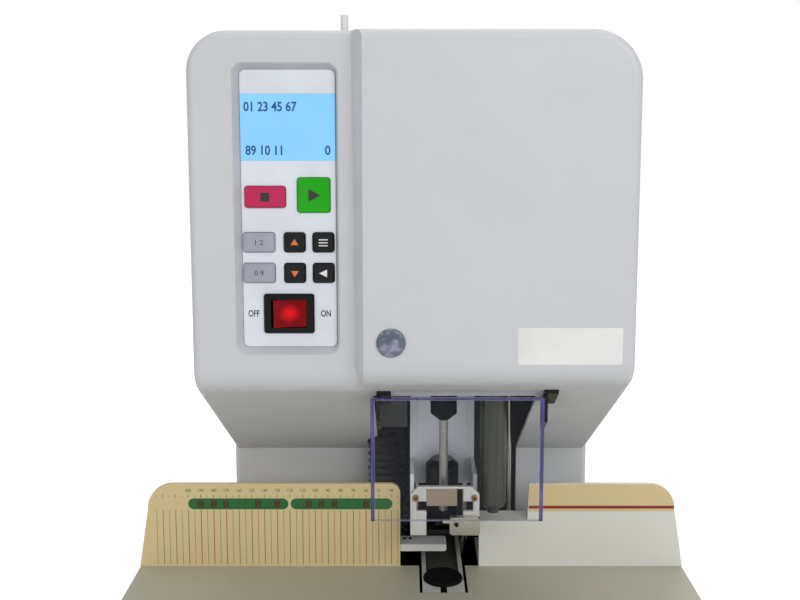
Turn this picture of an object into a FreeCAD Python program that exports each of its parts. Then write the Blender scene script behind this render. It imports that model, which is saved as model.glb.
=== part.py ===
"""Desk machine that drills a stack of papers and rivets it with a nylon tube.

Millimetres.  +Z is up, +X is the user's right and the user sits at -Y.  The origin is on the desk,
at the middle of the machine's footprint.  Every size is a cell of the sheet, and every piece takes
its size and place from those cells.
"""

import FreeCAD, Part
import math
import os

import Sketcher

os.makedirs("parts", exist_ok=True)

SIZES = {
    # Whole machine and table
    "table_width": 430.0,
    "machine_depth": 390.0,
    "table_height": 115.0,
    "table_gauge": 1.5,
    "table_flange": 14.0,
    "table_corner": 8.0,
    "wing_depth": 298.5,
    "wing_overhang": 4.5,
    "foot_height": 10.0,
    "foot_radius": 13.0,
    "base_overhang": 13.0,
    "base_setback": 8.0,
    "base_wall": 3.0,
    "base_corner": 10.0,
    "floor_gauge": 2.0,
    "vent_setback": 65.0,
    "vent_inset": 26.0,
    "vent_length": 39.0,
    "vent_width": 4.0,
    "vent_pitch": 10.4,
    "play": 0.3,
    "running_play": 0.05,
    "tail_setback": 2.0,
    # Fence
    "fence_setback": 150.0,
    "fence_height": 68.0,
    "fence_gauge": 3.0,
    "fence_taper": 7.5,
    "fence_shoulder": 20.0,
    "fence_left_end": -8.6,
    "fence_right_start": 53.6,
    "fence_inner_corner": 8.0,
    "fence_foot": 17.0,
    "foot_gauge": 2.0,
    "knob_inset": 40.0,
    "knob_pitch": 105.0,
    "knob_radius": 6.0,
    "knob_tall": 7.0,
    "notch_width": 38.0,
    "notch_height": 38.0,
    "ledge_reach": 28.0,
    "ledge_low": 12.0,
    "ledge_gauge": 5.5,
    # Head and column
    "head_width": 294.6,
    "head_front_width": 300.4,
    "head_height": 412.0,
    "head_reach": 103.0,
    "lip_height": 180.0,
    "lip_round": 22.0,
    "column_setback": 54.0,
    "slant_foot": 78.3,
    "cover_depth": 30.0,
    "left_recess": 13.0,
    "step_place": -37.5,
    "shell_wall": 3.0,
    "left_corner": 27.0,
    "right_corner": 33.0,
    "rim_round": 6.0,
    "bay_left": -27.0,
    "bay_right": 88.0,
    "back_gauge": 1.5,
    "screw_radius_small": 1.6,
    "screw_inset": 8.0,
    "louvre_length": 84.0,
    "louvre_pitch": 10.0,
    # Control panel
    "tray_left": -119.4,
    "tray_right": -48.8,
    "tray_low": 194.4,
    "tray_high": 391.2,
    "tray_corner": 8.0,
    "tray_border": 4.6,
    "tray_border_right": 2.2,
    "tray_depth": 4.5,
    "tray_back": 11.0,
    "plate_gauge": 1.0,
    "lcd_low": 326.2,
    "lcd_tall": 44.6,
    "lcd_glass": 0.4,
    "lcd_back": 2.0,
    "key_travel": 1.0,
    "key_proud": 2.2,
    "key_height": 13.4,
    "key_corner": 2.0,
    "key_edge": 1.2,
    "key_skirt": 1.5,
    "key_stem": 6.0,
    "key_row_high": 271.1,
    "key_row_low": 250.2,
    "key_column_left": -103.3,
    "key_column_mid": -79.2,
    "key_column_right": -59.8,
    "wide_key": 21.5,
    "narrow_key": 14.5,
    "stop_key_width": 27.6,
    "stop_key_height": 14.5,
    "stop_key_x": -98.6,
    "stop_key_z": 301.9,
    "start_key_width": 22.2,
    "start_key_height": 23.5,
    "start_key_x": -66.0,
    "start_key_z": 303.1,
    "switch_x": -83.5,
    "switch_z": 222.3,
    "switch_width": 34.4,
    "switch_height": 27.4,
    "rocker_width": 22.4,
    "rocker_height": 18.8,
    "rocker_tilt": 8.0,
    "rocker_pivot": 5.0,
    "rocker_belly": 4.0,
    "rocker_pin": 1.2,
    "rocker_side_gap": 1.0,
    "switch_edge": 2.5,
    "switch_proud": 2.0,
    "switch_well": 11.0,
    "switch_back": 8.0,
    "lens_x": -14.1,
    "lens_z": 205.7,
    "lens_radius": 9.8,
    "lens_depth": 6.0,
    "lens_dome": 2.8,
    # Guard
    "guard_left": -28.6,
    "guard_right": 91.2,
    "guard_ahead": 88.0,
    "guard_low": 75.0,
    "guard_gauge": 4.0,
    "guard_drop": 8.0,
    "bracket_gauge": 3.0,
    "bracket_width": 10.0,
    "bracket_depth": 18.0,
    "bracket_tall": 22.0,
    # Drill, press and their shift
    "drill_x": 24.5,
    "drill_ahead": 20.0,
    "station_pitch": 38.0,
    "bit_radius": 3.25,
    "bit_bore": 2.2,
    "bit_tip": 55.0,
    "chuck_radius": 10.0,
    "chuck_low": 132.0,
    "chuck_tall": 38.0,
    "chuck_nose": 5.0,
    "bit_seat": 20.0,
    "bit_bevel": 2.5,
    "shaft_reach": 11.0,
    "spindle_radius": 5.0,
    "quill_radius": 13.0,
    "quill_low": 181.0,
    "block_low": 257.0,
    "block_tall": 30.0,
    "block_width": 33.0,
    "block_front": 17.0,
    "block_back": 95.0,
    "post_radius": 4.0,
    "post_front": 30.0,
    "post_back": 85.0,
    "screw_place": 57.0,
    "screw_radius": 3.0,
    "motor_side": 28.0,
    "motor_tall": 28.0,
    "motor_corner": 4.0,
    "drill_motor_radius": 21.0,
    "drill_motor_tall": 68.0,
    "drill_stroke": 52.0,
    "barrel_radius": 10.0,
    "barrel_low": 59.0,
    "tip_radius": 4.5,
    "tip_tall": 5.0,
    "shift_low": 197.0,
    "shift_gauge": 6.0,
    "shift_tall": 180.0,
    "shift_width": 77.0,
    "shift_front": 25.0,
    "shift_back": 111.0,
    "rail_radius": 5.0,
    "rail_place": 124.0,
    "rail_low": 220.0,
    "rail_high": 350.0,
    "bush_side": 20.0,
    # Presser
    "presser_shift": 0.7,
    "presser_width": 52.0,
    "presser_low": 40.6,
    "presser_tall": 38.4,
    "presser_gauge": 3.0,
    "presser_ahead": 11.5,
    "presser_leg": 12.2,
    "presser_sill": 10.0,
    "presser_bar": 2.0,
    "presser_chamfer": 6.0,
    "presser_notch": 7.5,
    "boss_tall": 25.0,
    "shield_width": 23.0,
    "shield_tall": 13.4,
    "clamp_shift": 3.4,
    "clamp_rise": 2.6,
    "clamp_tall": 13.6,
    "clamp_gauge": 5.0,
    "clamp_pin": 1.8,
    "clamp_lobe": 1.0,
    "bolt_reach": 22.0,
    "bolt_drop": 8.6,
    "bolt_radius": 2.3,
    "bolt_head": 1.6,
    "arm_clear": 57.0,
    "slab_top": 167.0,
    "slab_gauge": 6.0,
    "slab_ahead": 50.0,
    "guide_pitch": 40.0,
    "guide_radius": 3.0,
    "guide_place": 67.0,
    "nozzle_radius": 13.0,
    "nozzle_place": 28.0,
    "nozzle_top": 86.0,
    "foot_plate": 3.4,
    "foot_hole": 6.0,
    # Lower arm and die
    "arm_width": 32.0,
    "arm_rail": 3.2,
    "arm_ahead": 41.5,
    "arm_back": 145.0,
    "arm_tall": 11.5,
    "arm_floor": 3.5,
    "slot_gap": 2.2,
    "pad_radius": 14.8,
    "pad_proud": 2.0,
    "tray_sunk": 4.0,
    "keyhole": 5.0,
    "die_radius": 9.0,
    "die_low": -51.0,
    "die_tall": 30.0,
    # Main frame
    "frame_left": -72.0,
    "frame_right": 122.0,
    "cheek": 6.0,
    "wall_place": 69.0,
    "frame_back": 175.0,
    "frame_top": 390.0,
    "shelf_low": -43.0,
    "shelf_gauge": 8.0,
    "top_shelf": 185.0,
    # Circuit boards
    "board_gauge": 1.6,
    "board_margin": 3.0,
    "board_post": 2.0,
    "board_standoff": 4.0,
    "control_drop": 50.0,
    "control_depth": 90.0,
    "control_tall": 150.0,
    "frame_margin": 15.0,
    "relay_tall": 8.0,
    "capacitor_radius": 5.0,
    # Hose, rivet tube, drawer and electrics
    "hose_x": -19.0,
    "hose_place": 37.0,
    "hose_radius": 16.0,
    "hose_top": 107.0,
    "hose_ribs": 6.0,
    "plenum_tall": 32.0,
    "tube_x": -48.8,
    "tube_ahead": 15.0,
    "tube_radius": 2.75,
    "tube_above": 16.0,
    "tube_length": 92.0,
    "feeder_side": 24.0,
    "feeder_floor": 20.0,
    "feeder_tall": 45.0,
    "collar_wall": 4.0,
    "inlet_x": -90.0,
    "inlet_z": 60.0,
    "inlet_width": 28.0,
    "inlet_height": 21.0,
    "inlet_ear": 11.0,
    "inlet_wall": 2.5,
    "inlet_depth": 15.0,
    "inlet_pitch": 7.0,
    "inlet_blade": 2.0,
    "core_side": 50.0,
    "transformer_gap": 37.0,
    "drawer_left": -60.0,
    "drawer_width": 170.0,
    "drawer_tall": 42.0,
    "drawer_wall": 2.0,
}

VENTS = 12
LOUVRES = 9

doc = FreeCAD.newDocument("DocumentRiveter")
sheet = doc.addObject("Spreadsheet::Sheet", "Sizes")


class Size:
    """A length or angle that keeps both its value and the sheet formula that gives it."""

    def __init__(self, formula, value):
        self.formula = formula
        self.value = float(value)

    def __float__(self):
        return self.value

    def __add__(self, other):
        other = as_size(other)
        return Size(f"({self.formula} + {other.formula})", self.value + other.value)

    def __radd__(self, other):
        return as_size(other) + self

    def __sub__(self, other):
        other = as_size(other)
        return Size(f"({self.formula} - {other.formula})", self.value - other.value)

    def __rsub__(self, other):
        return as_size(other) - self

    def __mul__(self, other):
        other = as_size(other)
        return Size(f"({self.formula} * {other.formula})", self.value * other.value)

    def __rmul__(self, other):
        return as_size(other) * self

    def __truediv__(self, other):
        other = as_size(other)
        return Size(f"({self.formula} / {other.formula})", self.value / other.value)

    def __neg__(self):
        return as_size(0) - self


def as_size(number):
    if isinstance(number, Size):
        return number
    return Size(f"({float(number)})", number)


def square_root(size):
    return Size(f"sqrt({size.formula})", math.sqrt(size.value))


class Cells:
    """The sheet's sizes by name."""


cells = Cells()
for row, (alias, value) in enumerate(SIZES.items(), 1):
    sheet.set(f"A{row}", alias.replace("_", " "))
    sheet.set(f"B{row}", str(value))
    sheet.setAlias(f"B{row}", alias)
    setattr(cells, alias, Size(f"Sizes.{alias}", value))
doc.recompute()

nodes = []


def keep(thing):
    """Marks a finished sub-part: its Label names its file."""
    nodes.append(thing)
    return thing


def bind(thing, path, size):
    thing.setExpression(path, as_size(size).formula)


def place(thing, x=0, y=0, z=0):
    """Puts a piece at x, y, z, held there by the sheet."""
    for axis, size in (("x", x), ("y", y), ("z", z)):
        bind(thing, f"Placement.Base.{axis}", size)
    return thing


# Outlines: each returns a function that draws itself in a sketch.

def hold(sketch, kind, geometry, point, size):
    """Holds one coordinate of a sketched point to a formula."""
    number = sketch.addConstraint(Sketcher.Constraint(kind, -1, 1, geometry, point, float(size)))
    sketch.setExpression(f"Constraints[{number}]", as_size(size).formula)


def polygon(*points):
    def draw(sketch):
        count = len(points)
        first = sketch.GeometryCount
        corners = [FreeCAD.Vector(float(u), float(v), 0) for u, v in points]
        for n in range(count):
            sketch.addGeometry(Part.LineSegment(corners[n], corners[(n + 1) % count]))
        for n in range(count):
            sketch.addConstraint(
                Sketcher.Constraint("Coincident", first + n, 2, first + (n + 1) % count, 1))
        for n, (u, v) in enumerate(points):
            hold(sketch, "DistanceX", first + n, 1, u)
            hold(sketch, "DistanceY", first + n, 1, v)
    return draw


def rectangle(left, right, low, high):
    return polygon((left, low), (right, low), (right, high), (left, high))


def rounded(left, right, low, high, radius):
    """A rectangle with four arcs for corners."""
    def draw(sketch):
        first = sketch.GeometryCount
        l, r, b, t, c = (float(size) for size in (left, right, low, high, radius))
        sides = (((l + c, b), (r - c, b)), ((r, b + c), (r, t - c)),
                 ((r - c, t), (l + c, t)), ((l, t - c), (l, b + c)))
        centres = ((r - c, b + c), (r - c, t - c), (l + c, t - c), (l + c, b + c))
        for side, centre, turn in zip(sides, centres, range(4)):
            ends = [FreeCAD.Vector(u, v, 0) for u, v in side]
            sketch.addGeometry(Part.LineSegment(*ends))
            circle = Part.Circle(FreeCAD.Vector(*centre, 0), FreeCAD.Vector(0, 0, 1), c)
            start = (turn - 1) * math.pi / 2
            sketch.addGeometry(Part.ArcOfCircle(circle, start, start + math.pi / 2))
        for turn in range(4):
            line = first + 2 * turn
            arc = line + 1
            following = first + (2 * turn + 2) % 8
            sketch.addConstraint(Sketcher.Constraint("Tangent", line, 2, arc, 1))
            sketch.addConstraint(Sketcher.Constraint("Tangent", arc, 2, following, 1))
            straight = "Vertical" if turn % 2 else "Horizontal"
            sketch.addConstraint(Sketcher.Constraint(straight, line))
        for turn in range(1, 4):
            sketch.addConstraint(Sketcher.Constraint("Equal", first + 1, first + 2 * turn + 1))
        number = sketch.addConstraint(Sketcher.Constraint("Radius", first + 1, c))
        sketch.setExpression(f"Constraints[{number}]", as_size(radius).formula)
        hold(sketch, "DistanceY", first, 1, low)
        hold(sketch, "DistanceX", first + 2, 1, right)
        hold(sketch, "DistanceY", first + 4, 1, high)
        hold(sketch, "DistanceX", first + 6, 1, left)
    return draw


def circle(u, v, radius):
    def draw(sketch):
        number = sketch.GeometryCount
        centre = FreeCAD.Vector(float(u), float(v), 0)
        sketch.addGeometry(Part.Circle(centre, FreeCAD.Vector(0, 0, 1), float(radius)))
        hold(sketch, "DistanceX", number, 3, u)
        hold(sketch, "DistanceY", number, 3, v)
        size = sketch.addConstraint(Sketcher.Constraint("Radius", number, float(radius)))
        sketch.setExpression(f"Constraints[{size}]", as_size(radius).formula)
    return draw


class Body:
    """A PartDesign body whose features are given by planes and distances along their normals."""

    def __init__(self, label):
        self.thing = doc.addObject("PartDesign::Body", label)
        self.thing.Label = label

    def sketch(self, plane, normal_place, outlines):
        """Draws outlines on one of the body's origin planes, moved along that plane's normal."""
        origin = [part for part in self.thing.Origin.OriginFeatures if part.Role == plane + "_Plane"]
        sketch = self.thing.newObject("Sketcher::SketchObject", "Sketch")
        sketch.AttachmentSupport = [(origin[0], "")]
        sketch.MapMode = "FlatFace"
        bind(sketch, "AttachmentOffset.Base.z", normal_place)
        for outline in outlines:
            outline(sketch)
        return sketch

    def add(self, plane, low, high, *outlines):
        """Pads outlines between two places along the plane's world axis."""
        start = -as_size(high) if plane == "XZ" else low
        pad = self.thing.newObject("PartDesign::Pad", "Pad")
        pad.Profile = self.sketch(plane, start, outlines)
        bind(pad, "Length", as_size(high) - low)
        return pad

    def cut(self, plane, low, high, *outlines):
        """Pockets outlines between two places along the plane's world axis."""
        start = -as_size(low) if plane == "XZ" else high
        sketch = self.sketch(plane, start, outlines)
        pocket = self.thing.newObject("PartDesign::Pocket", "Pocket")
        pocket.Profile = sketch
        bind(pocket, "Length", as_size(high) - low)
        return pocket

    def funnel(self, near, far, near_outline, far_outline):
        """Cuts a hollow that runs from one XZ outline to another."""
        loft = self.thing.newObject("PartDesign::SubtractiveLoft", "Funnel")
        loft.Profile = self.sketch("XZ", -as_size(near), [near_outline])
        loft.Sections = [self.sketch("XZ", -as_size(far), [far_outline])]
        loft.Ruled = True
        return loft

    def turn(self, *outlines):
        """Revolves outlines drawn on the XZ plane about the body's Z axis."""
        sketch = self.sketch("XZ", 0, outlines)
        revolution = self.thing.newObject("PartDesign::Revolution", "Revolution")
        revolution.Profile = sketch
        revolution.ReferenceAxis = (sketch, ["V_Axis"])
        return revolution

    def dress(self, kind, size, test):
        """Fillets or chamfers the edges of the tip that pass the test."""
        doc.recompute()
        base = self.thing.Tip
        names = [f"Edge{n}" for n, edge in enumerate(base.Shape.Edges, 1) if test(edge)]
        if not names:
            raise RuntimeError(f"{self.thing.Label}: no edge to dress")
        feature = self.thing.newObject("PartDesign::" + kind, kind)
        feature.Base = (base, names)
        bind(feature, "Radius" if kind == "Fillet" else "Size", size)
        return feature

    def repeat(self, feature, plane_axis, pitch, count):
        """Repeats a feature along an axis of its own sketch."""
        pattern = self.thing.newObject("PartDesign::LinearPattern", "Row")
        pattern.Originals = [feature]
        pattern.Direction = (feature.Profile[0], [plane_axis])
        pattern.Mode = "Spacing"
        bind(pattern, "Offset", pitch)
        pattern.Occurrences = count
        self.thing.Tip = pattern
        return pattern


def runs_along(axis, at=(), within=0.01):
    """Edge test: straight along an axis, and at the given other coordinates (None is free)."""
    others = [name for name in "XYZ" if name != axis]

    def test(edge):
        box = edge.BoundBox
        for name in others:
            if getattr(box, name + "Length") > within:
                return False
        for name, wanted in zip(others, at):
            if wanted is not None and abs(getattr(box, name + "Min") - float(wanted)) > within:
                return False
        return True
    return test


def lies_on(axis, place_of_plane, within=0.01):
    """Edge test: every point of the edge is on one plane."""
    def test(edge):
        box = edge.BoundBox
        low = getattr(box, axis + "Min") - float(place_of_plane)
        high = getattr(box, axis + "Max") - float(place_of_plane)
        return abs(low) < within and abs(high) < within
    return test


def combine(kind, label, things):
    made = doc.addObject("Part::" + kind, label)
    made.Label = label
    if kind == "Compound":
        made.Links = things
    else:
        made.Shapes = things
    return made


def cut(label, base, *tools):
    made = doc.addObject("Part::Cut", label)
    made.Label = label
    made.Base = base
    made.Tool = tools[0] if len(tools) == 1 else combine("MultiFuse", label + "_tools", list(tools))
    return made


def block(label, left, right, front, back, low, high):
    made = doc.addObject("Part::Box", label)
    made.Label = label
    bind(made, "Length", as_size(right) - left)
    bind(made, "Width", as_size(back) - front)
    bind(made, "Height", as_size(high) - low)
    return place(made, left, front, low)


AXIS_TURN = {
    "X": FreeCAD.Rotation(FreeCAD.Vector(0, 1, 0), 90),
    "Y": FreeCAD.Rotation(FreeCAD.Vector(1, 0, 0), -90),
    "Z": FreeCAD.Rotation(),
}


def rod(label, axis, x, y, z, radius, length):
    """A round bar from x, y, z along an axis."""
    made = doc.addObject("Part::Cylinder", label)
    made.Label = label
    made.Placement = FreeCAD.Placement(FreeCAD.Vector(), AXIS_TURN[axis])
    bind(made, "Radius", radius)
    bind(made, "Height", length)
    return place(made, x, y, z)


# Places that several pieces share.

c = cells
front = -c.machine_depth / 2
rear = c.machine_depth / 2
table_top = c.table_height
fence_line = front + c.fence_setback
head_front = fence_line - c.head_reach
left_front = head_front + c.left_recess
seam = head_front + c.cover_depth
column_front = fence_line + c.column_setback
head_top = table_top + c.head_height
lip = table_top + c.lip_height
slant_low = table_top + c.slant_foot
half_head = c.head_width / 2
front_half = c.head_front_width / 2
half_base = c.table_width / 2 - c.base_overhang
base_top = table_top - c.table_gauge
floor_low = c.foot_height
floor_top = floor_low + c.floor_gauge
rear_wall = rear - c.tail_setback
slope = (lip - slant_low) / (column_front - head_front)
skew = square_root(slope * slope + 1)
taper = (front_half - half_head) / (column_front - head_front)
drill_y = fence_line - c.drill_ahead
press_x = c.drill_x + c.station_pitch


def slant(y):
    """Height of the head's slanted underside at a depth."""
    return slant_low + (column_front - y) * slope


def head_half(y):
    """Half of the head's width at a depth: the head and the base's tail narrow towards the back."""
    return half_head + (column_front - y) * taper


tail_half = head_half(rear_wall)
wing_end = front + c.wing_depth


# Base

def make_feet():
    rear_x = tail_half - c.foot_radius - c.base_wall * 3
    front_x = half_base - c.foot_radius - c.base_wall * 3
    front_y = front + c.base_setback + c.foot_radius + c.base_wall * 3
    rear_y = rear_wall - c.foot_radius - c.base_wall * 3
    feet = []
    for name, x, y in (("fl", -front_x, front_y), ("fr", front_x, front_y),
                       ("rl", -rear_x, rear_y), ("rr", rear_x, rear_y)):
        foot = doc.addObject("Part::Cone", "foot_" + name)
        bind(foot, "Radius1", c.foot_radius * 0.85)
        bind(foot, "Radius2", c.foot_radius)
        bind(foot, "Height", c.foot_height)
        feet.append(place(foot, x, y, 0))
    keep(combine("Compound", "rubber_feet", feet))


def base_outline(inset):
    """The base seen from above: a wide table end and a narrower tail under the column."""
    wide = half_base - inset
    near = front + c.base_setback + inset
    wing = wing_end - inset
    neck = head_half(wing) - inset
    far = rear_wall - inset
    tail = tail_half - inset
    return polygon((-wide, near), (wide, near), (wide, wing), (neck, wing),
                   (tail, far), (-tail, far), (-neck, wing), (-wide, wing))


def make_base():
    drawer_play = c.play * 3
    near = front + c.base_setback
    inner = c.base_wall
    body = Body("base_housing")
    body.add("XY", floor_low, base_top, base_outline(0))
    body.dress("Fillet", c.base_corner, runs_along("Z", (None, near)))
    body.cut("XY", floor_low, base_top - inner, base_outline(inner))
    body.cut("XY", base_top - inner, base_top,
             rectangle(-tail_half + inner * 2, tail_half - inner * 2,
                       column_front + inner * 2, rear_wall - inner * 2))
    body.cut("XY", base_top - inner, base_top,
             rectangle(c.hose_x - c.hose_radius - inner, c.fence_right_start + inner,
                       fence_line - c.arm_ahead - inner * 2, column_front + inner * 3))
    body.cut("XZ", near - 1, near + inner * 2,
             rectangle(c.drawer_left - drawer_play, c.drawer_left + c.drawer_width + drawer_play,
                       floor_low, floor_top + c.drawer_tall + drawer_play * 2))
    body.cut("XZ", rear_wall - inner * 2, rear_wall + 1,
             rectangle(inlet_x - inlet_width / 2, inlet_x + inlet_width / 2,
                       inlet_z - inlet_height / 2, inlet_z + inlet_height / 2))
    post = c.base_wall * 2
    for side in (-1, 1):
        body.add("XY", floor_top, base_top - inner,
                 circle((half_base - post * 2) * side, near + post * 4, post))
        body.add("XY", floor_top, base_top - inner,
                 circle((half_base - post * 2) * side, column_front, post))
    keep(body.thing)


def make_floor():
    inset = c.base_wall + c.play
    body = Body("bottom_plate")
    body.add("XY", floor_low, floor_top, base_outline(inset))
    first = front + c.vent_setback
    for left in (-half_base + c.vent_inset, half_base - c.vent_inset - c.vent_length):
        slot = body.cut("XY", floor_low - 1, floor_top + 1,
                        rectangle(left, left + c.vent_length, first, first + c.vent_width))
        body.repeat(slot, "V_Axis", c.vent_pitch, VENTS)
    keep(body.thing)


def make_table():
    half = c.table_width / 2
    wing = wing_end + c.wing_overhang
    notch_front = column_front - c.play
    notch = head_half(notch_front) + c.play
    notch_end = head_half(wing) + c.play
    body = Body("table_plate")
    gauge = c.table_gauge
    body.add("XY", table_top - c.table_flange, table_top,
             polygon((-half, front), (half, front), (half, wing), (notch_end, wing),
                     (notch, notch_front), (-notch, notch_front), (-notch_end, wing),
                     (-half, wing)))
    body.dress("Fillet", c.table_corner, runs_along("Z", (None, front)))
    body.dress("Fillet", gauge * 0.8,
               lambda edge: lies_on("Z", table_top)(edge)
               and edge.BoundBox.YMin < float(front + c.table_corner) + 1)
    body.cut("XY", table_top - c.table_flange - 1, base_top,
             rounded(-half + gauge, half - gauge, front + gauge, wing + c.table_corner * 2,
                     c.table_corner - gauge))
    arm_half = c.arm_width / 2 + c.slot_gap
    slot_end = fence_line - c.arm_ahead - c.slot_gap
    body.cut("XY", base_top - 1, table_top + 1,
             rectangle(c.hose_x - c.hose_radius - c.slot_gap, c.fence_right_start,
                       fence_line + c.fence_foot, column_front))
    body.cut("XY", base_top - 1, table_top + 1,
             rectangle(c.fence_left_end - 1, c.fence_right_start,
                       fence_line + 1, fence_line + c.fence_foot + 1))
    body.cut("XY", base_top - 1, table_top + 1,
             rectangle(c.drill_x - arm_half, c.drill_x + arm_half, slot_end, fence_line + 2))
    keep(body.thing)


def make_drawer():
    left = c.drawer_left
    right = left + c.drawer_width
    near = front + c.base_setback - c.drawer_wall * 0.5
    far = column_front
    low = floor_top + c.play
    high = low + c.drawer_tall
    wall = c.drawer_wall
    body = Body("waste_drawer")
    body.add("XY", low, high, rectangle(left, right, near, far))
    body.cut("XY", low + wall, high + 1,
             rectangle(left + wall, right - wall, near + wall * 2, far - wall))
    middle = (left + right) / 2
    grip = c.drawer_width / 5
    body.add("XZ", near - wall * 2.5, near, rectangle(middle - grip, middle + grip,
                                                      high - wall * 3, high - wall))
    body.dress("Fillet", wall * 0.6, lies_on("Y", near - wall * 2.5))
    keep(body.thing)


# Fence

def fence_top(side, inner_x):
    """The outer end of a fence half: a tapered edge and a shoulder up to the top line."""
    outer = c.table_width / 2 * side
    tapered = (c.table_width / 2 - c.fence_taper) * side
    top = table_top + c.fence_height
    return [(outer, table_top), (tapered, top - c.fence_shoulder - 1), (tapered, top), (inner_x, top)]


def make_fence_left():
    outline = fence_top(-1, c.fence_left_end)
    body = Body("fence_left")
    body.add("XZ", fence_line, fence_line + c.fence_gauge,
             polygon(*outline, (c.fence_left_end, table_top)))
    top = table_top + c.fence_height
    body.dress("Fillet", c.fence_shoulder,
               runs_along("Y", (-(c.table_width / 2 - c.fence_taper), top)))
    body.dress("Fillet", c.fence_inner_corner, runs_along("Y", (c.fence_left_end, top)))
    inner = fence_line + c.fence_gauge
    back = fence_line + c.fence_foot
    body.add("XY", table_top, table_top + c.foot_gauge,
             rectangle(-(half_base - c.fence_taper), c.hose_x - c.hose_radius - c.fence_inner_corner,
                       inner, back + c.foot_gauge))
    ledge_low = table_top + c.ledge_low
    body.add("XY", ledge_low, ledge_low + c.ledge_gauge,
             rectangle(c.fence_left_end, c.ledge_reach, fence_line + c.foot_gauge / 2, back))
    body.add("XY", ledge_low, ledge_low + c.ledge_gauge,
             rectangle(c.fence_left_end - c.fence_gauge * 2, c.fence_left_end, inner, back))
    body.dress("Fillet", c.ledge_gauge / 3, runs_along("Y", (c.ledge_reach, None)))
    keep(body.thing)


def make_fence_right():
    outline = fence_top(1, c.fence_right_start + c.notch_width + 1)
    notch_end = c.fence_right_start + c.notch_width
    notch_top = table_top + c.notch_height
    body = Body("fence_right")
    body.add("XZ", fence_line, fence_line + c.fence_gauge,
             polygon((c.fence_right_start, table_top), *outline,
                     (notch_end, notch_top), (c.fence_right_start, notch_top)))
    body.dress("Fillet", c.fence_shoulder,
               runs_along("Y", (c.table_width / 2 - c.fence_taper, table_top + c.fence_height)))
    inner = fence_line + c.fence_gauge
    back = fence_line + c.fence_foot + c.foot_gauge
    body.add("XY", notch_top - c.foot_gauge, notch_top,
             rectangle(c.fence_right_start, notch_end, inner, back))
    body.add("XY", table_top, table_top + c.foot_gauge,
             rectangle(notch_end, half_base - c.fence_taper, inner, back))
    keep(body.thing)


def make_fence_screws():
    screws = []
    y = fence_line + c.fence_gauge + c.fence_foot / 2
    outer = c.table_width / 2 - c.knob_inset
    for number, x in enumerate((-outer, -outer + c.knob_pitch, outer - c.knob_pitch / 2, outer)):
        screws.append(rod(f"fence_knob_{number}", "Z", x, y, table_top + c.foot_gauge,
                          c.knob_radius, c.knob_tall))
    keep(combine("Compound", "fence_screws", screws))


# Head

def head_block(name, near, far, inset, left=None, right=None, bottom=None):
    """A length of the head, tapered in plan, above its slanted underside.

    An inset gives the hollow inside it.  A side is the head's own tapered one unless an X place is
    given.  A bottom is given where the column is part of the length.
    """
    def corner(side, given, y):
        return ((head_half(y) - inset) * side if given is None else given, y)

    top = head_top - inset
    low = slant_low if bottom is None else bottom
    body = Body(name)
    body.add("XY", low, top, polygon(corner(-1, left, near), corner(1, right, near),
                                     corner(1, right, far), corner(-1, left, far)))
    reach = front_half * 2
    ahead = near - reach
    turn = far + reach if bottom is None else column_front + inset
    skewed = skew * inset
    body.cut("YZ", -reach, reach,
             polygon((ahead, low - reach), (turn, low - reach), (turn, slant(turn) + skewed),
                     (ahead, slant(ahead) + skewed)))
    return body


def top_side(side, height):
    """Edge test: the top edge of the head's left (-1) or right (1) side."""
    def test(edge):
        across = edge.BoundBox.Center.x * side > float(half_head) * 0.8
        return across and edge.BoundBox.YLength > 1 and lies_on("Z", height)(edge)
    return test


def outer_side_edge(edge):
    """Edge test: where the shell's sides meet its slanted underside and the column's front."""
    box = edge.BoundBox
    if abs(box.Center.x) < float(half_head) * 0.8 or box.ZLength < 1:
        return False
    return lies_on("Y", column_front)(edge) or (box.YLength > 1 and box.ZMax < float(lip))


def make_head_shell():
    wall = c.shell_wall
    outer = head_block("shell_outer", seam, rear_wall, 0, bottom=base_top)
    outer.dress("Fillet", c.left_corner, top_side(-1, head_top))
    outer.dress("Fillet", c.right_corner, top_side(1, head_top))
    outer.dress("Chamfer", c.rim_round * 0.6, outer_side_edge)
    inner = head_block("shell_inner", seam - 1, rear_wall - wall, wall, bottom=base_top - 1)
    inner.dress("Fillet", c.left_corner - wall, top_side(-1, head_top - wall))
    inner.dress("Fillet", c.right_corner - wall, top_side(1, head_top - wall))
    bay = block("shell_bay", c.bay_left, c.bay_right, seam - 2, column_front + wall + 0.5,
                base_top - 2, lip)
    door = block("shell_door", -tail_half + wall * 7, tail_half - wall * 7,
                 rear_wall - wall * 2, rear_wall + 1, table_top + wall * 8, head_top - wall * 10)
    hole = rod("shell_tube_hole", "Z", c.tube_x, fence_line - c.tube_ahead,
               head_top - wall * 2, collar_radius + c.play, wall * 4)
    hose_hole = rod("shell_hose_hole", "Z", c.hose_x, fence_line + c.hose_place,
                    slant_low - wall, c.hose_radius + c.play * 2, lip - slant_low)
    keep(cut("head_shell", outer.thing, inner.thing, bay, door, hole, hose_hole))


def cover_block(name, near, far, inset, side, corner, rim, **given):
    """One half of the front cover, or the hollow inside it, with its dressed rim."""
    start = near + inset
    body = head_block(name, start, far, inset, **given)
    body.dress("Fillet", c.lip_round - inset,
               runs_along("X", (start, slant(start) + skew * inset)))
    body.dress("Fillet", corner - inset, top_side(side, head_top - inset))
    body.dress(rim, c.rim_round - inset * 0.6,
               lambda edge: lies_on("Y", start)(edge) and edge.BoundBox.ZMax > float(lens_z))
    return body.thing


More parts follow.
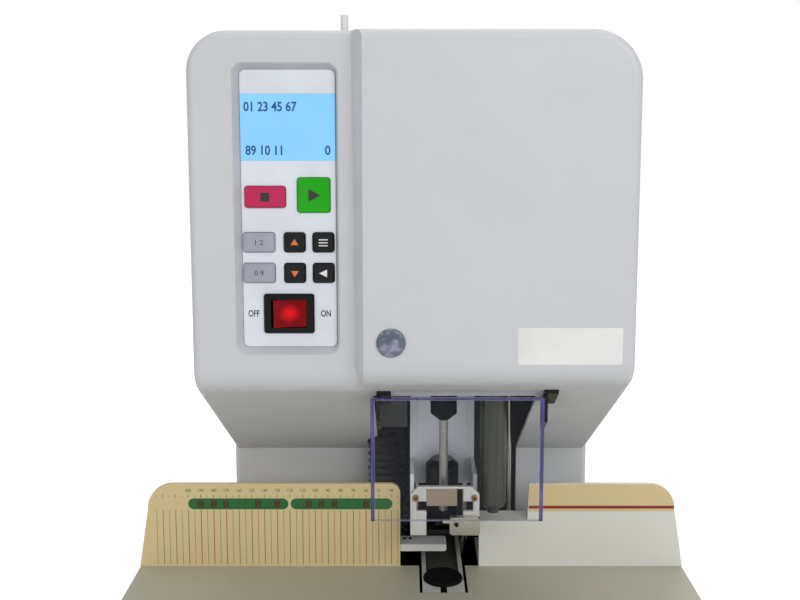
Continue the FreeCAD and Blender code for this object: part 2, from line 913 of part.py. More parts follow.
def make_front_cover():
    wall = c.shell_wall
    overlap = c.rim_round * 2
    outer_left = cover_block("cover_left", left_front, seam, 0, -1, c.left_corner,
                             "Fillet", right=c.step_place + overlap)
    outer_right = cover_block("cover_right", head_front, seam, 0, 1, c.right_corner,
                              "Fillet", left=c.step_place)
    inner_left = cover_block("cover_left_hollow", left_front, seam + 1, wall, -1, c.left_corner,
                             "Chamfer", right=c.step_place + overlap * 2)
    inner_right = cover_block("cover_right_hollow", head_front, seam + 1, wall, 1, c.right_corner,
                              "Chamfer", left=c.step_place + wall)
    outer = combine("MultiFuse", "cover_outer", [outer_left, outer_right])
    window = Body("cover_window")
    window.add("XZ", left_front - 1, left_front + wall * 2,
               rounded(c.tray_left - c.play, c.tray_right + c.play,
                       table_top + c.tray_low - c.play, table_top + c.tray_high + c.play,
                       c.tray_corner + c.play))
    lens = rod("cover_lens_hole", "Y", c.lens_x, head_front - 1, lens_z,
               c.lens_radius - 1 + c.play, wall * 3)
    keep(cut("front_cover", outer, inner_left, inner_right, window.thing, lens))


lens_z = table_top + c.lens_z


def make_rear_cover():
    low = table_top + c.shell_wall * 6
    high = head_top - c.shell_wall * 8
    half = tail_half - c.shell_wall * 5
    back = rear_wall + c.back_gauge
    edge = c.screw_inset
    screw_places = [(x, z) for x in (-half + edge, half - edge)
                    for z in (low + edge, (low + high) / 2, high - edge)]
    body = Body("rear_cover")
    body.add("XZ", rear_wall, back, rounded(-half, half, low, high, c.rim_round))
    first = high - edge * 2 - c.louvre_pitch * LOUVRES
    for centre in (-half / 2 + edge / 2, half / 2 - edge / 2):
        louvre = body.cut("XZ", rear_wall - 1, back + 1,
                          rectangle(centre - c.louvre_length / 2, centre + c.louvre_length / 2,
                                    first, first + c.vent_width))
        body.repeat(louvre, "V_Axis", c.louvre_pitch, LOUVRES)
    body.cut("XZ", rear_wall - 1, back + 1,
             *[circle(x, z, c.screw_radius_small + c.play) for x, z in screw_places])
    keep(body.thing)
    screws = []
    for number, (x, z) in enumerate(screw_places):
        head = doc.addObject("Part::Cone", f"cover_screw_{number}")
        head.Placement = FreeCAD.Placement(FreeCAD.Vector(), AXIS_TURN["Y"])
        bind(head, "Radius1", c.screw_radius_small * 2.2)
        bind(head, "Radius2", c.screw_radius_small * 1.6)
        bind(head, "Height", c.tail_setback - c.back_gauge)
        screws.append(place(head, x, back, z))
    keep(combine("Compound", "cover_screws", screws))


# Control panel

plate_left = c.tray_left + c.tray_border
plate_right = c.tray_right - c.tray_border_right
plate_low = table_top + c.tray_low + c.tray_border
plate_high = table_top + c.tray_high - c.tray_border
tray_face = left_front + 0.5
plate_face = tray_face + c.tray_depth
tray_rear = tray_face + c.tray_back
lcd_low = table_top + c.lcd_low
lcd_high = lcd_low + c.lcd_tall
lcd_border = c.plate_gauge * 2
switch_z = table_top + c.switch_z

KEYS = (
    ("key_stop", c.stop_key_x, c.stop_key_z, c.stop_key_width, c.stop_key_height),
    ("key_start", c.start_key_x, c.start_key_z, c.start_key_width, c.start_key_height),
    ("key_mode", c.key_column_left, c.key_row_high, c.wide_key, c.key_height),
    ("key_count", c.key_column_left, c.key_row_low, c.wide_key, c.key_height),
    ("key_up", c.key_column_mid, c.key_row_high, c.narrow_key, c.key_height),
    ("key_down", c.key_column_mid, c.key_row_low, c.narrow_key, c.key_height),
    ("key_menu", c.key_column_right, c.key_row_high, c.narrow_key, c.key_height),
    ("key_exit", c.key_column_right, c.key_row_low, c.narrow_key, c.key_height),
)


def key_windows(margin, corner=None):
    """Openings for the keys, a margin larger than each key all round."""
    windows = []
    for _, x, z, width, height in KEYS:
        sides = (x - width / 2 - margin, x + width / 2 + margin,
                 table_top + z - height / 2 - margin, table_top + z + height / 2 + margin)
        windows.append(rectangle(*sides) if corner is None else rounded(*sides, corner + margin))
    return windows


def make_panel():
    tray = Body("control_panel")
    tray.add("XZ", tray_face, tray_rear,
             rounded(c.tray_left, c.tray_right, table_top + c.tray_low, table_top + c.tray_high,
                     c.tray_corner))
    rim = c.play * 3
    tray.funnel(tray_face, plate_face,
                rounded(c.tray_left + rim, c.tray_right - rim, table_top + c.tray_low + rim,
                        table_top + c.tray_high - rim, c.tray_corner - rim),
                rounded(plate_left, plate_right, plate_low, plate_high, c.tray_corner / 2))
    tray.cut("XZ", plate_face, tray_rear + 1, *key_windows(c.play * 2))
    tray.cut("XZ", plate_face, tray_rear + 1,
             rectangle(plate_left + lcd_border, plate_right - lcd_border,
                       lcd_low + lcd_border, lcd_high - lcd_border),
             rectangle(c.switch_x - switch_body_width / 2, c.switch_x + switch_body_width / 2,
                       switch_z - switch_body_height / 2, switch_z + switch_body_height / 2))
    keep(tray.thing)
    plate = Body("panel_plate")
    plate.add("XZ", plate_face - c.plate_gauge, plate_face,
              rounded(plate_left + c.play, plate_right - c.play, plate_low + c.play,
                      plate_high - c.play, c.tray_corner / 2 - c.play))
    outer_face = plate_face - c.plate_gauge
    plate.cut("XZ", outer_face - 1, plate_face + 1, *key_windows(c.play, c.key_corner))
    plate.cut("XZ", outer_face - 1, plate_face + 1,
              rectangle(plate_left + lcd_border, plate_right - lcd_border,
                        lcd_low + lcd_border, lcd_high - lcd_border),
              rectangle(c.switch_x - switch_body_width / 2, c.switch_x + switch_body_width / 2,
                        switch_z - switch_body_height / 2, switch_z + switch_body_height / 2))
    keep(plate.thing)
    lcd = Body("lcd_module")
    lcd.add("XZ", outer_face - c.lcd_glass, outer_face,
            rectangle(plate_left + c.play, plate_right - c.play, lcd_low, lcd_high))
    lcd.add("XZ", outer_face, tray_rear + c.lcd_back,
            rectangle(plate_left + lcd_border + c.play, plate_right - lcd_border - c.play,
                      lcd_low + lcd_border + c.play, lcd_high - lcd_border - c.play))
    keep(lcd.thing)


def make_keys():
    """Each key: a bevelled cap with a stem that stands just off the board's switches."""
    cap = c.key_proud + c.plate_gauge + c.key_skirt
    stem = c.key_stem / 2
    for label, x, z, width, height in KEYS:
        key = Body(label)
        key.add("XZ", 0, cap,
                rounded(-width / 2, width / 2, -height / 2, height / 2, c.key_corner))
        key.dress("Chamfer", c.key_edge, lies_on("Y", 0))
        key.add("XZ", cap, key_reach, rectangle(-stem, stem, -stem, stem))
        place(key.thing, x, plate_face - c.plate_gauge - c.key_proud, table_top + z)
        keep(key.thing)


key_reach = c.tray_back - c.tray_depth + c.plate_gauge + c.key_proud
board_front = tray_rear + c.key_travel + 1
switch_body_width = c.switch_width - c.switch_edge * 2
switch_body_height = c.switch_height - c.switch_edge * 2


def make_switch():
    back = plate_face - c.plate_gauge
    face = back - c.switch_proud
    pivot_y = face + c.rocker_pivot
    half = c.rocker_width / 2
    half_tall = c.rocker_height / 2
    body = Body("switch_body")
    body.add("XZ", face, back,
             rounded(c.switch_x - c.switch_width / 2, c.switch_x + c.switch_width / 2,
                     switch_z - c.switch_height / 2, switch_z + c.switch_height / 2, c.key_corner))
    body.dress("Chamfer", c.switch_proud / 2, lies_on("Y", face))
    body.add("XZ", back, tray_rear + c.switch_back,
             rectangle(c.switch_x - switch_body_width / 2 + c.play,
                       c.switch_x + switch_body_width / 2 - c.play,
                       switch_z - switch_body_height / 2 + c.play,
                       switch_z + switch_body_height / 2 - c.play))
    body.cut("XZ", face - 1, face + c.switch_well,
             rectangle(c.switch_x - half - c.rocker_side_gap, c.switch_x + half + c.rocker_side_gap,
                       switch_z - half_tall - c.play, switch_z + half_tall + c.play))
    pin = c.rocker_pin
    body.cut("XY", switch_z - half_tall - pin - c.play, switch_z + half_tall + pin + c.play,
             circle(c.switch_x, pivot_y, pin + c.running_play))
    keep(body.thing)
    rocker = Body("power_rocker")
    ends = half * 0.45
    low_end = -c.rocker_pivot - 0.2
    rocker.add("XY", -half_tall, half_tall,
               polygon((-half, low_end), (-ends, low_end + 1.2), (0, low_end + 1.8),
                       (ends, low_end + 1.2), (half, low_end), (half, 0), (ends, c.rocker_belly),
                       (-ends, c.rocker_belly), (-half, 0)))
    rocker.add("XY", -half_tall - pin, half_tall + pin, circle(0, 0, pin))
    place(rocker.thing, c.switch_x, pivot_y, switch_z)
    rocker.thing.Placement = FreeCAD.Placement(
        rocker.thing.Placement.Base,
        FreeCAD.Rotation(FreeCAD.Vector(0, 0, 1), float(c.rocker_tilt)))
    keep(rocker.thing)


def make_boards():
    keypad = Body("keypad_board")
    low = switch_z + switch_body_height / 2 + c.board_margin
    high = lcd_low - c.board_margin
    keypad.add("XZ", board_front, board_front + c.board_gauge,
               rectangle(plate_left, plate_right, low, high))
    post = c.board_post
    for x in (plate_left + post * 2, plate_right - post * 2):
        for z in (low + post * 2, high - post * 2):
            keypad.add("XZ", tray_rear, board_front,
                       rectangle(x - post, x + post, z - post, z + post))
    mount = c.frame_right
    face = mount + c.board_standoff
    near = frame_front + c.frame_margin
    far = near + c.control_depth
    foot = top_shelf - c.control_drop
    top = foot + c.control_tall
    control = Body("control_pcb")
    control.add("YZ", face, face + c.board_gauge, rectangle(near, far, foot, top))
    for y in (near + post * 2, far - post * 2):
        for z in (foot + post * 2, top - post * 2):
            control.add("YZ", mount, face, rectangle(y - post, y + post, z - post, z + post))
    parts_face = face + c.board_gauge
    middle = (near + far) / 2
    control.add("YZ", parts_face, parts_face + c.relay_tall,
                rectangle(near + post * 8, middle, foot + post * 10, foot + post * 30))
    control.add("YZ", parts_face, parts_face + c.relay_tall / 2,
                rectangle(middle + post * 4, far - post * 6, foot + post * 34, foot + post * 46))
    for y in (near + post * 8, middle, far - post * 8):
        control.add("YZ", parts_face, parts_face + c.relay_tall,
                    circle(y, top - post * 14, c.capacitor_radius))
    keep(combine("Compound", "circuit_boards", [keypad.thing, control.thing]))


def make_lens():
    lens = Body("sensor_lens")
    radius = c.lens_radius
    neck = radius - 1
    dome = c.lens_dome
    lens.turn(polygon((0, -c.lens_depth), (neck, -c.lens_depth), (neck, 0), (radius, 0),
                      (radius, dome / 3), (radius - dome / 2, dome * 0.65), (0, dome)))
    place(lens.thing, c.lens_x, head_front, lens_z)
    lens.thing.Placement = FreeCAD.Placement(
        lens.thing.Placement.Base, FreeCAD.Rotation(FreeCAD.Vector(1, 0, 0), 90))
    keep(lens.thing)


# Guard

guard_front = fence_line - c.guard_ahead
guard_foot = table_top + c.guard_low


def make_guard():
    """A clear shield on two brackets: its top edge stays below the head's slanted underside."""
    gauge = c.guard_gauge
    pane_front = guard_front + gauge
    body = Body("guard_shield")
    body.add("XZ", guard_front, pane_front,
             rectangle(c.guard_left, c.guard_right, guard_foot, slant(pane_front) - c.guard_drop))
    hose_front = fence_line + c.hose_place - c.hose_radius
    for left, back in ((c.guard_left, hose_front - gauge),
                       (c.guard_right - gauge, column_front - c.guard_drop / slope)):
        body.add("YZ", left, left + gauge,
                 polygon((pane_front, guard_foot), (back, guard_foot),
                         (back, slant(back) - c.guard_drop),
                         (pane_front, slant(pane_front) - c.guard_drop)))
    keep(body.thing)
    brackets = []
    ear_front = pane_front + 1
    ear_back = ear_front + c.bracket_depth
    lug = c.bracket_gauge
    for name, left, lug_front in (("left", c.guard_left + gauge, ear_front),
                                  ("right", c.guard_right, ear_front - lug)):
        bracket = Body("guard_bracket_" + name)
        bracket.add("YZ", left, left + lug,
                    polygon((ear_front, slant(ear_front) - c.bracket_tall),
                            (ear_back, slant(ear_back) - c.bracket_tall),
                            (ear_back, slant(ear_back)), (ear_front, slant(ear_front))))
        bracket.add("YZ", left, left + c.bracket_width,
                    polygon((lug_front, slant(lug_front) - lug), (ear_back, slant(ear_back) - lug),
                            (ear_back, slant(ear_back)), (lug_front, slant(lug_front))))
        brackets.append(bracket.thing)
    keep(combine("Compound", "guard_brackets", brackets))


# Main frame and its rods

wall_front = fence_line + c.wall_place
wall_back = wall_front + c.cheek
frame_front = column_front + c.cheek
frame_back = fence_line + c.frame_back
frame_top = table_top + c.frame_top
shelf_low = table_top + c.shelf_low
shelf_top = shelf_low + c.shelf_gauge
top_shelf = table_top + c.top_shelf
arm_low = table_top - c.arm_tall
guide_y = fence_line + c.guide_place - 20
guide_half = c.guide_pitch / 2
rail_y = fence_line + c.rail_place - 20
rail_low = table_top + c.rail_low
rail_high = table_top + c.rail_high
arm_half = c.arm_width / 2


def make_main_frame():
    left = c.frame_left
    right = c.frame_right
    cheek = c.cheek
    inner_left = left + cheek
    inner_right = right - cheek
    body = Body("main_frame")
    step_low = slant(column_front) + c.shell_wall + cheek
    head_y = column_front - cheek * 3
    cheek_outline = polygon(
        (frame_front, floor_top), (frame_back, floor_top), (frame_back, frame_top),
        (head_y, frame_top), (head_y, slant(head_y) + cheek), (frame_front, step_low))
    body.add("YZ", left, inner_left, cheek_outline)
    body.add("YZ", inner_right, right, cheek_outline)
    body.add("XY", floor_top, floor_top + cheek, rectangle(inner_left, inner_right, frame_front, frame_back))
    body.add("XZ", frame_back - cheek, frame_back,
             rectangle(inner_left, inner_right, top_shelf, frame_top))
    body.add("XZ", wall_front, wall_back,
             rectangle(inner_left, inner_right, floor_top + cheek, top_shelf + cheek))
    arm_gap = arm_half + c.slot_gap * 2
    body.cut("XZ", wall_front - 1, wall_back + 1,
             rectangle(c.drill_x - arm_gap, c.drill_x + arm_gap, shelf_top, table_top + c.slot_gap * 2))
    body.add("XY", top_shelf, top_shelf + cheek,
             rectangle(inner_left, inner_right, column_front - cheek * 3, wall_front))
    nose = c.die_radius + cheek
    body.add("XY", shelf_low, shelf_top,
             rectangle(c.drill_x - nose, c.drill_x + nose, drill_y - nose, frame_back))
    wide = guide_half + cheek
    body.add("XY", shelf_low, shelf_top,
             rectangle(c.drill_x - wide, c.drill_x + wide, guide_y - cheek * 2, wall_front))
    body.cut("XY", shelf_low - 1, shelf_top + 1,
             circle(c.drill_x, drill_y, c.die_radius + c.running_play))
    beam = arm_half - cheek
    body.add("XY", shelf_top, arm_low - c.play,
             rectangle(c.drill_x - beam, c.drill_x + beam, guide_y - cheek, frame_back))
    body.add("XY", floor_top + cheek, shelf_low,
             rectangle(c.drill_x - nose, c.drill_x + nose, frame_back - cheek, frame_back))
    body.add("XZ", column_front + cheek + c.play, wall_front,
             rectangle(stop_x - cheek * 1.4, stop_x - cheek * 0.6, floor_top + cheek, top_shelf))
    body.add("XY", lug_low, lug_low + cheek,
             rectangle(stop_x - cheek * 0.6, stop_x + cheek * 0.7, guide_y - cheek, wall_front))
    keep(body.thing)


stop_x = press_x + c.station_pitch / 2
lug_low = table_top + c.cheek * 1.5


def make_rods():
    rods = []
    for number, side in enumerate((-1, 1)):
        rods.append(rod(f"presser_guide_{number}", "Z", c.drill_x + guide_half * side, guide_y,
                        shelf_top, c.guide_radius, top_shelf - shelf_top))
    rods.append(rod("height_rod", "Z", stop_x, guide_y, lug_low + c.cheek, c.guide_radius * 0.6,
                    top_shelf - lug_low - c.cheek))
    for number, z in enumerate((rail_low, rail_high)):
        rods.append(rod(f"shift_rail_{number}", "X", c.frame_left + c.cheek, rail_y, z,
                        c.rail_radius, c.frame_right - c.frame_left - c.cheek * 2))
    keep(combine("Compound", "guide_rods", rods))
    screws = [
        rod("presser_screw", "Z", c.drill_x, guide_y, table_top + c.nozzle_top - 10,
            c.screw_radius, c.top_shelf - c.nozzle_top + 10),
        rod("shift_screw", "X", c.frame_left + c.cheek, rail_y, (rail_low + rail_high) / 2,
            c.screw_radius, c.frame_right - c.frame_left - c.cheek * 2),
    ]
    keep(combine("Compound", "lead_screws", screws))


# Presser

presser_x = c.drill_x + c.presser_shift
presser_left = presser_x - c.presser_width / 2
presser_right = presser_x + c.presser_width / 2
presser_low = table_top + c.presser_low
presser_high = presser_low + c.presser_tall
presser_front = drill_y - c.presser_ahead - c.presser_gauge
presser_back = drill_y - c.presser_ahead
slab_front = drill_y + c.slab_ahead
slab_back = slab_front + c.slab_gauge
slab_top = table_top + c.slab_top
arm_clear = table_top + c.arm_clear
leg_back = fence_line - 2


def make_presser():
    gauge = c.presser_gauge
    window_left = presser_left + c.presser_leg
    window_right = presser_right - c.presser_leg
    foot = Body("presser_foot")
    foot.add("XZ", presser_front, presser_back,
             rectangle(presser_left, presser_right, presser_low, presser_high))
    foot.cut("XZ", presser_front - 1, presser_back + 1,
             rectangle(window_left, window_right, presser_low - 1, presser_high - c.presser_bar))
    notch_low = presser_low + c.presser_tall / 2
    notch_high = notch_low + c.presser_notch
    for edge_x, side in ((window_left, -1), (window_right, 1)):
        end_x = edge_x + c.presser_notch * side
        foot.cut("XZ", presser_front - 1, presser_back + 1,
                 polygon((edge_x - side, notch_low), (end_x, notch_low),
                         (end_x, notch_high), (edge_x - side, notch_high)))
    for side_x in (presser_left, presser_right):
        foot.dress("Chamfer", c.presser_chamfer, runs_along("Y", (side_x, presser_high)))
    foot.dress("Fillet", 0.8, lies_on("Y", presser_front))
    keep(foot.thing)

    bracket = Body("presser_bracket")
    pass_back = drill_y + c.barrel_radius + c.play * 5
    sill = presser_low + c.presser_sill
    side_outline = polygon((presser_back, presser_low), (leg_back, presser_low),
                           (leg_back, arm_clear), (slab_front, arm_clear),
                           (slab_front, presser_high), (pass_back, presser_high),
                           (pass_back, sill), (presser_back, sill))
    bracket.add("YZ", presser_left, presser_left + gauge, side_outline)
    bracket.add("YZ", presser_right - gauge, presser_right, side_outline)
    bracket.add("XZ", slab_front, slab_back,
                rectangle(presser_left, presser_right, arm_clear, slab_top))
    inset = gauge * 2
    panel_left = presser_left + inset
    panel_right = presser_right - inset
    panel_low = presser_high + gauge
    panel_high = slab_top - inset
    bracket.add("XZ", slab_front - gauge / 2, slab_front,
                polygon((panel_left, panel_low), (panel_right, panel_low),
                        (panel_right, panel_high - inset * 2), (panel_right - inset, panel_high),
                        (panel_left + inset, panel_high), (panel_left, panel_high - inset * 2)))
    for side in (-1, 1):
        boss_x = c.drill_x + guide_half * side
        boss = c.guide_radius + gauge / 2
        for low in (arm_clear, slab_top - c.boss_tall):
            bracket.add("XY", low, low + c.boss_tall,
                        rectangle(boss_x - boss, boss_x + boss, slab_back,
                                  guide_y + c.guide_radius + gauge))
        bracket.cut("XY", arm_clear - 1, slab_top + 1,
                    circle(boss_x, guide_y, c.guide_radius + c.running_play))
    keep(bracket.thing)

    shield = Body("shield_plate")
    shield_top = presser_high - c.presser_bar
    shield.add("XZ", presser_front + gauge / 3, presser_front + gauge * 2 / 3,
               rectangle(window_left, window_left + c.shield_width,
                         shield_top - c.shield_tall, shield_top))
    keep(shield.thing)

    clamp = Body("clamp_block")
    clamp_left = presser_x + c.clamp_shift
    clamp_low = presser_low + c.clamp_rise
    clamp_top = clamp_low + c.clamp_tall
    clamp_front = presser_front - c.clamp_gauge
    clamp_right = presser_right + c.play
    clamp.add("XZ", clamp_front, presser_front,
              rectangle(clamp_left, clamp_right, clamp_low, clamp_top))
    clamp.dress("Chamfer", c.clamp_gauge / 3, runs_along("Y"))
    clamp.cut("XZ", clamp_front - 1, presser_front + 1,
              circle(clamp_left + c.clamp_gauge, clamp_low + c.clamp_tall * 0.6, c.clamp_pin))
    lobe = c.clamp_gauge * 1.3
    for middle in (clamp_left + c.clamp_tall, clamp_right - lobe):
        clamp.add("XZ", clamp_front - c.clamp_lobe, clamp_front,
                  polygon((middle - lobe / 2, clamp_top - lobe / 3),
                          (middle, clamp_top - lobe * 1.2),
                          (middle + lobe / 2, clamp_top - lobe / 3)))
    clamp.add("YZ", clamp_left - c.clamp_gauge, clamp_left,
              circle(clamp_front + c.clamp_gauge / 2, clamp_low + c.clamp_tall * 0.7, c.clamp_pin))
    keep(clamp.thing)

    bolts = []
    for number, side in enumerate((-1, 1)):
        bolts.append(rod(f"presser_bolt_{number}", "Y", presser_x + c.bolt_reach * side,
                         presser_front - c.bolt_head, presser_high - c.bolt_drop,
                         c.bolt_radius, c.bolt_head))
    keep(combine("Compound", "presser_bolts", bolts))

    nozzle = Body("chip_nozzle")
    dome_y = drill_y + c.nozzle_place
    nozzle.add("XY", presser_low, presser_low + c.foot_plate,
               rectangle(presser_left + gauge + c.play, presser_right - gauge - c.play,
                         presser_back + c.play, leg_back))
    nozzle.cut("XY", presser_low - 1, presser_low + c.foot_plate + 1,
               circle(c.drill_x, drill_y, c.foot_hole))
    web = c.nozzle_radius * 0.8
    web_top = arm_clear + gauge * 2
    nozzle.add("XY", presser_low + c.foot_plate, web_top,
               rectangle(c.drill_x - web, c.drill_x + web, leg_back - gauge, leg_back))
    nozzle.add("XY", arm_clear, web_top,
               rectangle(c.drill_x - web, c.drill_x + web, leg_back, slab_front))
    nozzle.add("XY", arm_clear, table_top + c.nozzle_top,
               circle(c.drill_x, dome_y, c.nozzle_radius))
    nozzle.dress("Chamfer", c.nozzle_radius / 3, lies_on("Z", table_top + c.nozzle_top))
    keep(nozzle.thing)

    side = c.motor_side / 2
    motor = Body("presser_motor")
    motor_low = slab_top - c.boss_tall - c.motor_tall - gauge
    motor.add("XY", motor_low, motor_low + c.motor_tall,
              rounded(c.drill_x - side, c.drill_x + side, slab_back, slab_back + c.motor_side,
                      c.motor_corner))
    motor.cut("XY", motor_low - 1, motor_low + c.motor_tall + 1,
              circle(c.drill_x, guide_y, c.screw_radius + c.play * 2))
    keep(motor.thing)


# Shift frame with the drill and the press

shift_left = (c.drill_x + press_x) / 2 - c.shift_width / 2
shift_right = shift_left + c.shift_width
shift_low = table_top + c.shift_low
shift_high = shift_low + c.shift_tall
shift_front = drill_y - c.shift_front
shift_back = drill_y + c.shift_back
block_low = table_top + c.block_low
block_top = block_low + c.block_tall
post_front = drill_y + c.post_front
post_back = drill_y + c.post_back
screw_y = drill_y + c.screw_place


def make_shift_frame():
    gauge = c.shift_gauge
    body = Body("shift_frame")
    body.add("XY", shift_low, shift_low + gauge,
             rectangle(shift_left, shift_right, shift_front, shift_back))
    body.add("XY", shift_high - gauge, shift_high,
             rectangle(shift_left, shift_right, shift_front, shift_back))
    body.add("XZ", shift_back - gauge, shift_back,
             rectangle(shift_left, shift_right, shift_low + gauge, shift_high - gauge))
    body.cut("XY", shift_low - 1, shift_low + gauge + 1,
             circle(c.drill_x, drill_y, c.quill_radius + c.play * 2),
             circle(press_x, drill_y, c.barrel_radius + c.play * 2))
    middle = (shift_left + shift_right) / 2
    bush = c.bush_side / 2
    for z in (rail_low, rail_high):
        body.add("YZ", middle - bush * 2.5, middle + bush * 2.5,
                 rectangle(shift_back, rail_y + bush, z - bush, z + bush))
        body.cut("YZ", middle - bush * 3, middle + bush * 3,
                 circle(rail_y, z, c.rail_radius + c.running_play))
    keep(body.thing)
    posts = []
    screws = []
    inner = shift_high - shift_low - gauge * 2
    for station, x in (("drill", c.drill_x), ("press", press_x)):
        for number, y in enumerate((post_front, post_back)):
            posts.append(rod(f"{station}_post_{number}", "Z", x, y, shift_low + gauge,
                             c.post_radius, inner))
        screws.append(rod(f"{station}_screw", "Z", x, screw_y, shift_low + gauge,
                          c.screw_radius, inner))
    keep(combine("Compound", "feed_posts", posts))
    keep(combine("Compound", "feed_screws", screws))
    motor = Body("shift_motor")
    side = c.motor_side / 2
    screw_z = (rail_low + rail_high) / 2
    motor.add("YZ", middle - side, middle + side,
              rounded(shift_back, shift_back + c.motor_side, screw_z - side, screw_z + side,
                      c.motor_corner))
    motor.cut("YZ", middle - side - 1, middle + side + 1,
              circle(rail_y, screw_z, c.screw_radius + c.play * 2))
    keep(motor.thing)


def carriage(label, x):
    """A block that slides on two posts, with its lead screw between them."""
    half = c.block_width / 2
    body = Body(label)
    body.add("XY", block_low, block_top,
             rectangle(x - half, x + half, drill_y - c.block_front, drill_y + c.block_back))
    body.cut("XY", block_low - 1, block_top + 1,
             circle(x, post_front, c.post_radius + c.running_play),
             circle(x, post_back, c.post_radius + c.running_play),
             circle(x, screw_y, c.screw_radius + c.play * 2))
    return body


def feed_motor(label, x):
    side = c.motor_side / 2
    motor = Body(label)
    motor.add("XY", block_top, block_top + c.motor_tall,
              rounded(x - side, x + side, screw_y - side, screw_y + side, c.motor_corner))
    motor.cut("XY", block_top - 1, block_top + c.motor_tall + 1,
              circle(x, screw_y, c.screw_radius + c.play * 2))
    keep(motor.thing)


def make_drill():
    body = carriage("drill_carriage", c.drill_x)
    quill_low = table_top + c.quill_low
    body.add("XY", quill_low, block_low, circle(c.drill_x, drill_y, c.quill_radius))
    body.cut("XY", quill_low - 1, block_top + 1,
             circle(c.drill_x, drill_y, c.spindle_radius + c.running_play))
    keep(body.thing)
    motor = Body("drill_motor")
    motor.add("XY", block_top, block_top + c.drill_motor_tall,
              circle(c.drill_x, drill_y, c.drill_motor_radius))
    motor.dress("Chamfer", 3, lies_on("Z", block_top + c.drill_motor_tall))
    motor.cut("XY", block_top - 1, block_top + c.shaft_reach + 1,
              circle(c.drill_x, drill_y, c.spindle_radius + c.running_play))
    keep(motor.thing)
    feed_motor("drill_feed_motor", c.drill_x)
    low = table_top + c.chuck_low
    top = low + c.chuck_tall
    shaft = c.spindle_radius
    radius = c.chuck_radius
    bore = c.bit_radius + c.running_play / 2
    nose = low - c.chuck_nose
    seat = low + c.bit_seat
    shaft_top = block_top + c.shaft_reach
    shoulder = c.chuck_nose * 0.6
    chuck = Body("drill_chuck")
    chuck.turn(polygon((bore, nose), (bore + 1, nose), (radius, low), (radius, top - shoulder),
                       (radius - shoulder, top), (shaft, top), (shaft, shaft_top), (0, shaft_top),
                       (0, seat), (bore, seat)))
    place(chuck.thing, c.drill_x, drill_y, 0)
    keep(chuck.thing)
    bit = Body("drill_bit")
    tip = table_top + c.bit_tip
    bit.turn(polygon((c.bit_bore, tip + c.bit_bevel), (c.bit_radius, tip), (c.bit_radius, seat),
                     (c.bit_bore, seat)))
    place(bit.thing, c.drill_x, drill_y, 0)
    keep(bit.thing)


def make_press():
    keep(carriage("press_carriage", press_x).thing)
    feed_motor("press_feed_motor", press_x)
    low = table_top + c.barrel_low
    radius = c.barrel_radius
    barrel = Body("press_barrel")
    barrel.turn(polygon((0, low - c.tip_tall), (c.tip_radius, low - c.tip_tall), (c.tip_radius, low),
                        (radius - 2, low), (radius, low + 3), (radius, block_low), (0, block_low)))
    place(barrel.thing, press_x, drill_y, 0)
    keep(barrel.thing)


# Lower arm and die

def make_arm():
    left = c.drill_x - arm_half
    right = c.drill_x + arm_half
    near = fence_line - c.arm_ahead
    far = fence_line + c.arm_back
    rail = c.arm_rail
    floor = arm_low + c.arm_floor
    pad_hole = c.pad_radius + c.play * 2
    pocket_front = drill_y + pad_hole * 0.7
    frame = Body("arm_frame")
    frame.add("XY", arm_low, table_top, rectangle(left, right, near, far))
    frame.cut("XY", floor, table_top + 1,
              rectangle(left + rail, right - rail, pocket_front, far + 1))
    frame.cut("XY", floor, table_top + 1, circle(c.drill_x, drill_y, pad_hole))
    frame.cut("XY", arm_low - 1, table_top + 1,
              rectangle(c.drill_x - c.keyhole / 2, c.drill_x + c.keyhole / 2, near - 1, drill_y))
    for side_x in (left, right):
        frame.dress("Fillet", 0.4, runs_along("Y", (side_x, table_top)))
    keep(frame.thing)
    tray = Body("arm_tray")
    tray.add("XY", floor, table_top - c.tray_sunk,
             rectangle(left + rail + c.play, right - rail - c.play, pocket_front + c.play, far))
    tray.cut("XY", floor - 1, table_top, circle(c.drill_x, drill_y, pad_hole))
    keep(tray.thing)
    pad = Body("drill_pad")
    top = table_top + c.pad_proud
    edge = c.pad_proud * 0.4
    pad.turn(polygon((0, floor), (c.pad_radius, floor), (c.pad_radius, top - edge),
                     (c.pad_radius - edge, top), (0, top)))
    place(pad.thing, c.drill_x, drill_y, 0)
    keep(pad.thing)
    die = Body("lower_die")
    low = table_top + c.die_low
    high = low + c.die_tall
    die.turn(polygon((0, low), (c.die_radius, low), (c.die_radius, high - c.tip_tall),
                     (c.tip_radius + 1, high), (0, high)))
    place(die.thing, c.drill_x, drill_y, 0)
    keep(die.thing)


# Hose, rivet tube and electrics

collar_radius = c.tube_radius + c.collar_wall
inlet_x = c.inlet_x
inlet_z = c.inlet_z
inlet_width = c.inlet_width
inlet_height = c.inlet_height


def make_hose():
    """A ribbed hose from the drawer up through the head's underside into a plenum on the frame."""
    hose_y = fence_line + c.hose_place
    radius = c.hose_radius
    root = radius * 0.85
    low = floor_top + c.drawer_tall + c.play * 10
    top = table_top + c.hose_top
    pitch = c.hose_ribs
    ribbed_low = table_top + pitch
    count = int((float(top) - float(ribbed_low)) / float(pitch))
    points = [(0, low), (root, low)]
    for n in range(count):
        valley = top - pitch * (count - n)
        points += [(root, valley), (radius, valley + pitch / 2)]
    points += [(root, top), (0, top)]
    run = Body("hose_run")
    run.turn(polygon(*points))
    place(run.thing, c.hose_x, hose_y, 0)
    plenum = block("hose_plenum", c.hose_x - radius, c.hose_x + radius,
                   hose_y - radius, wall_front, top, top + c.plenum_tall)
    keep(combine("MultiFuse", "chip_hose", [run.thing, plenum]))


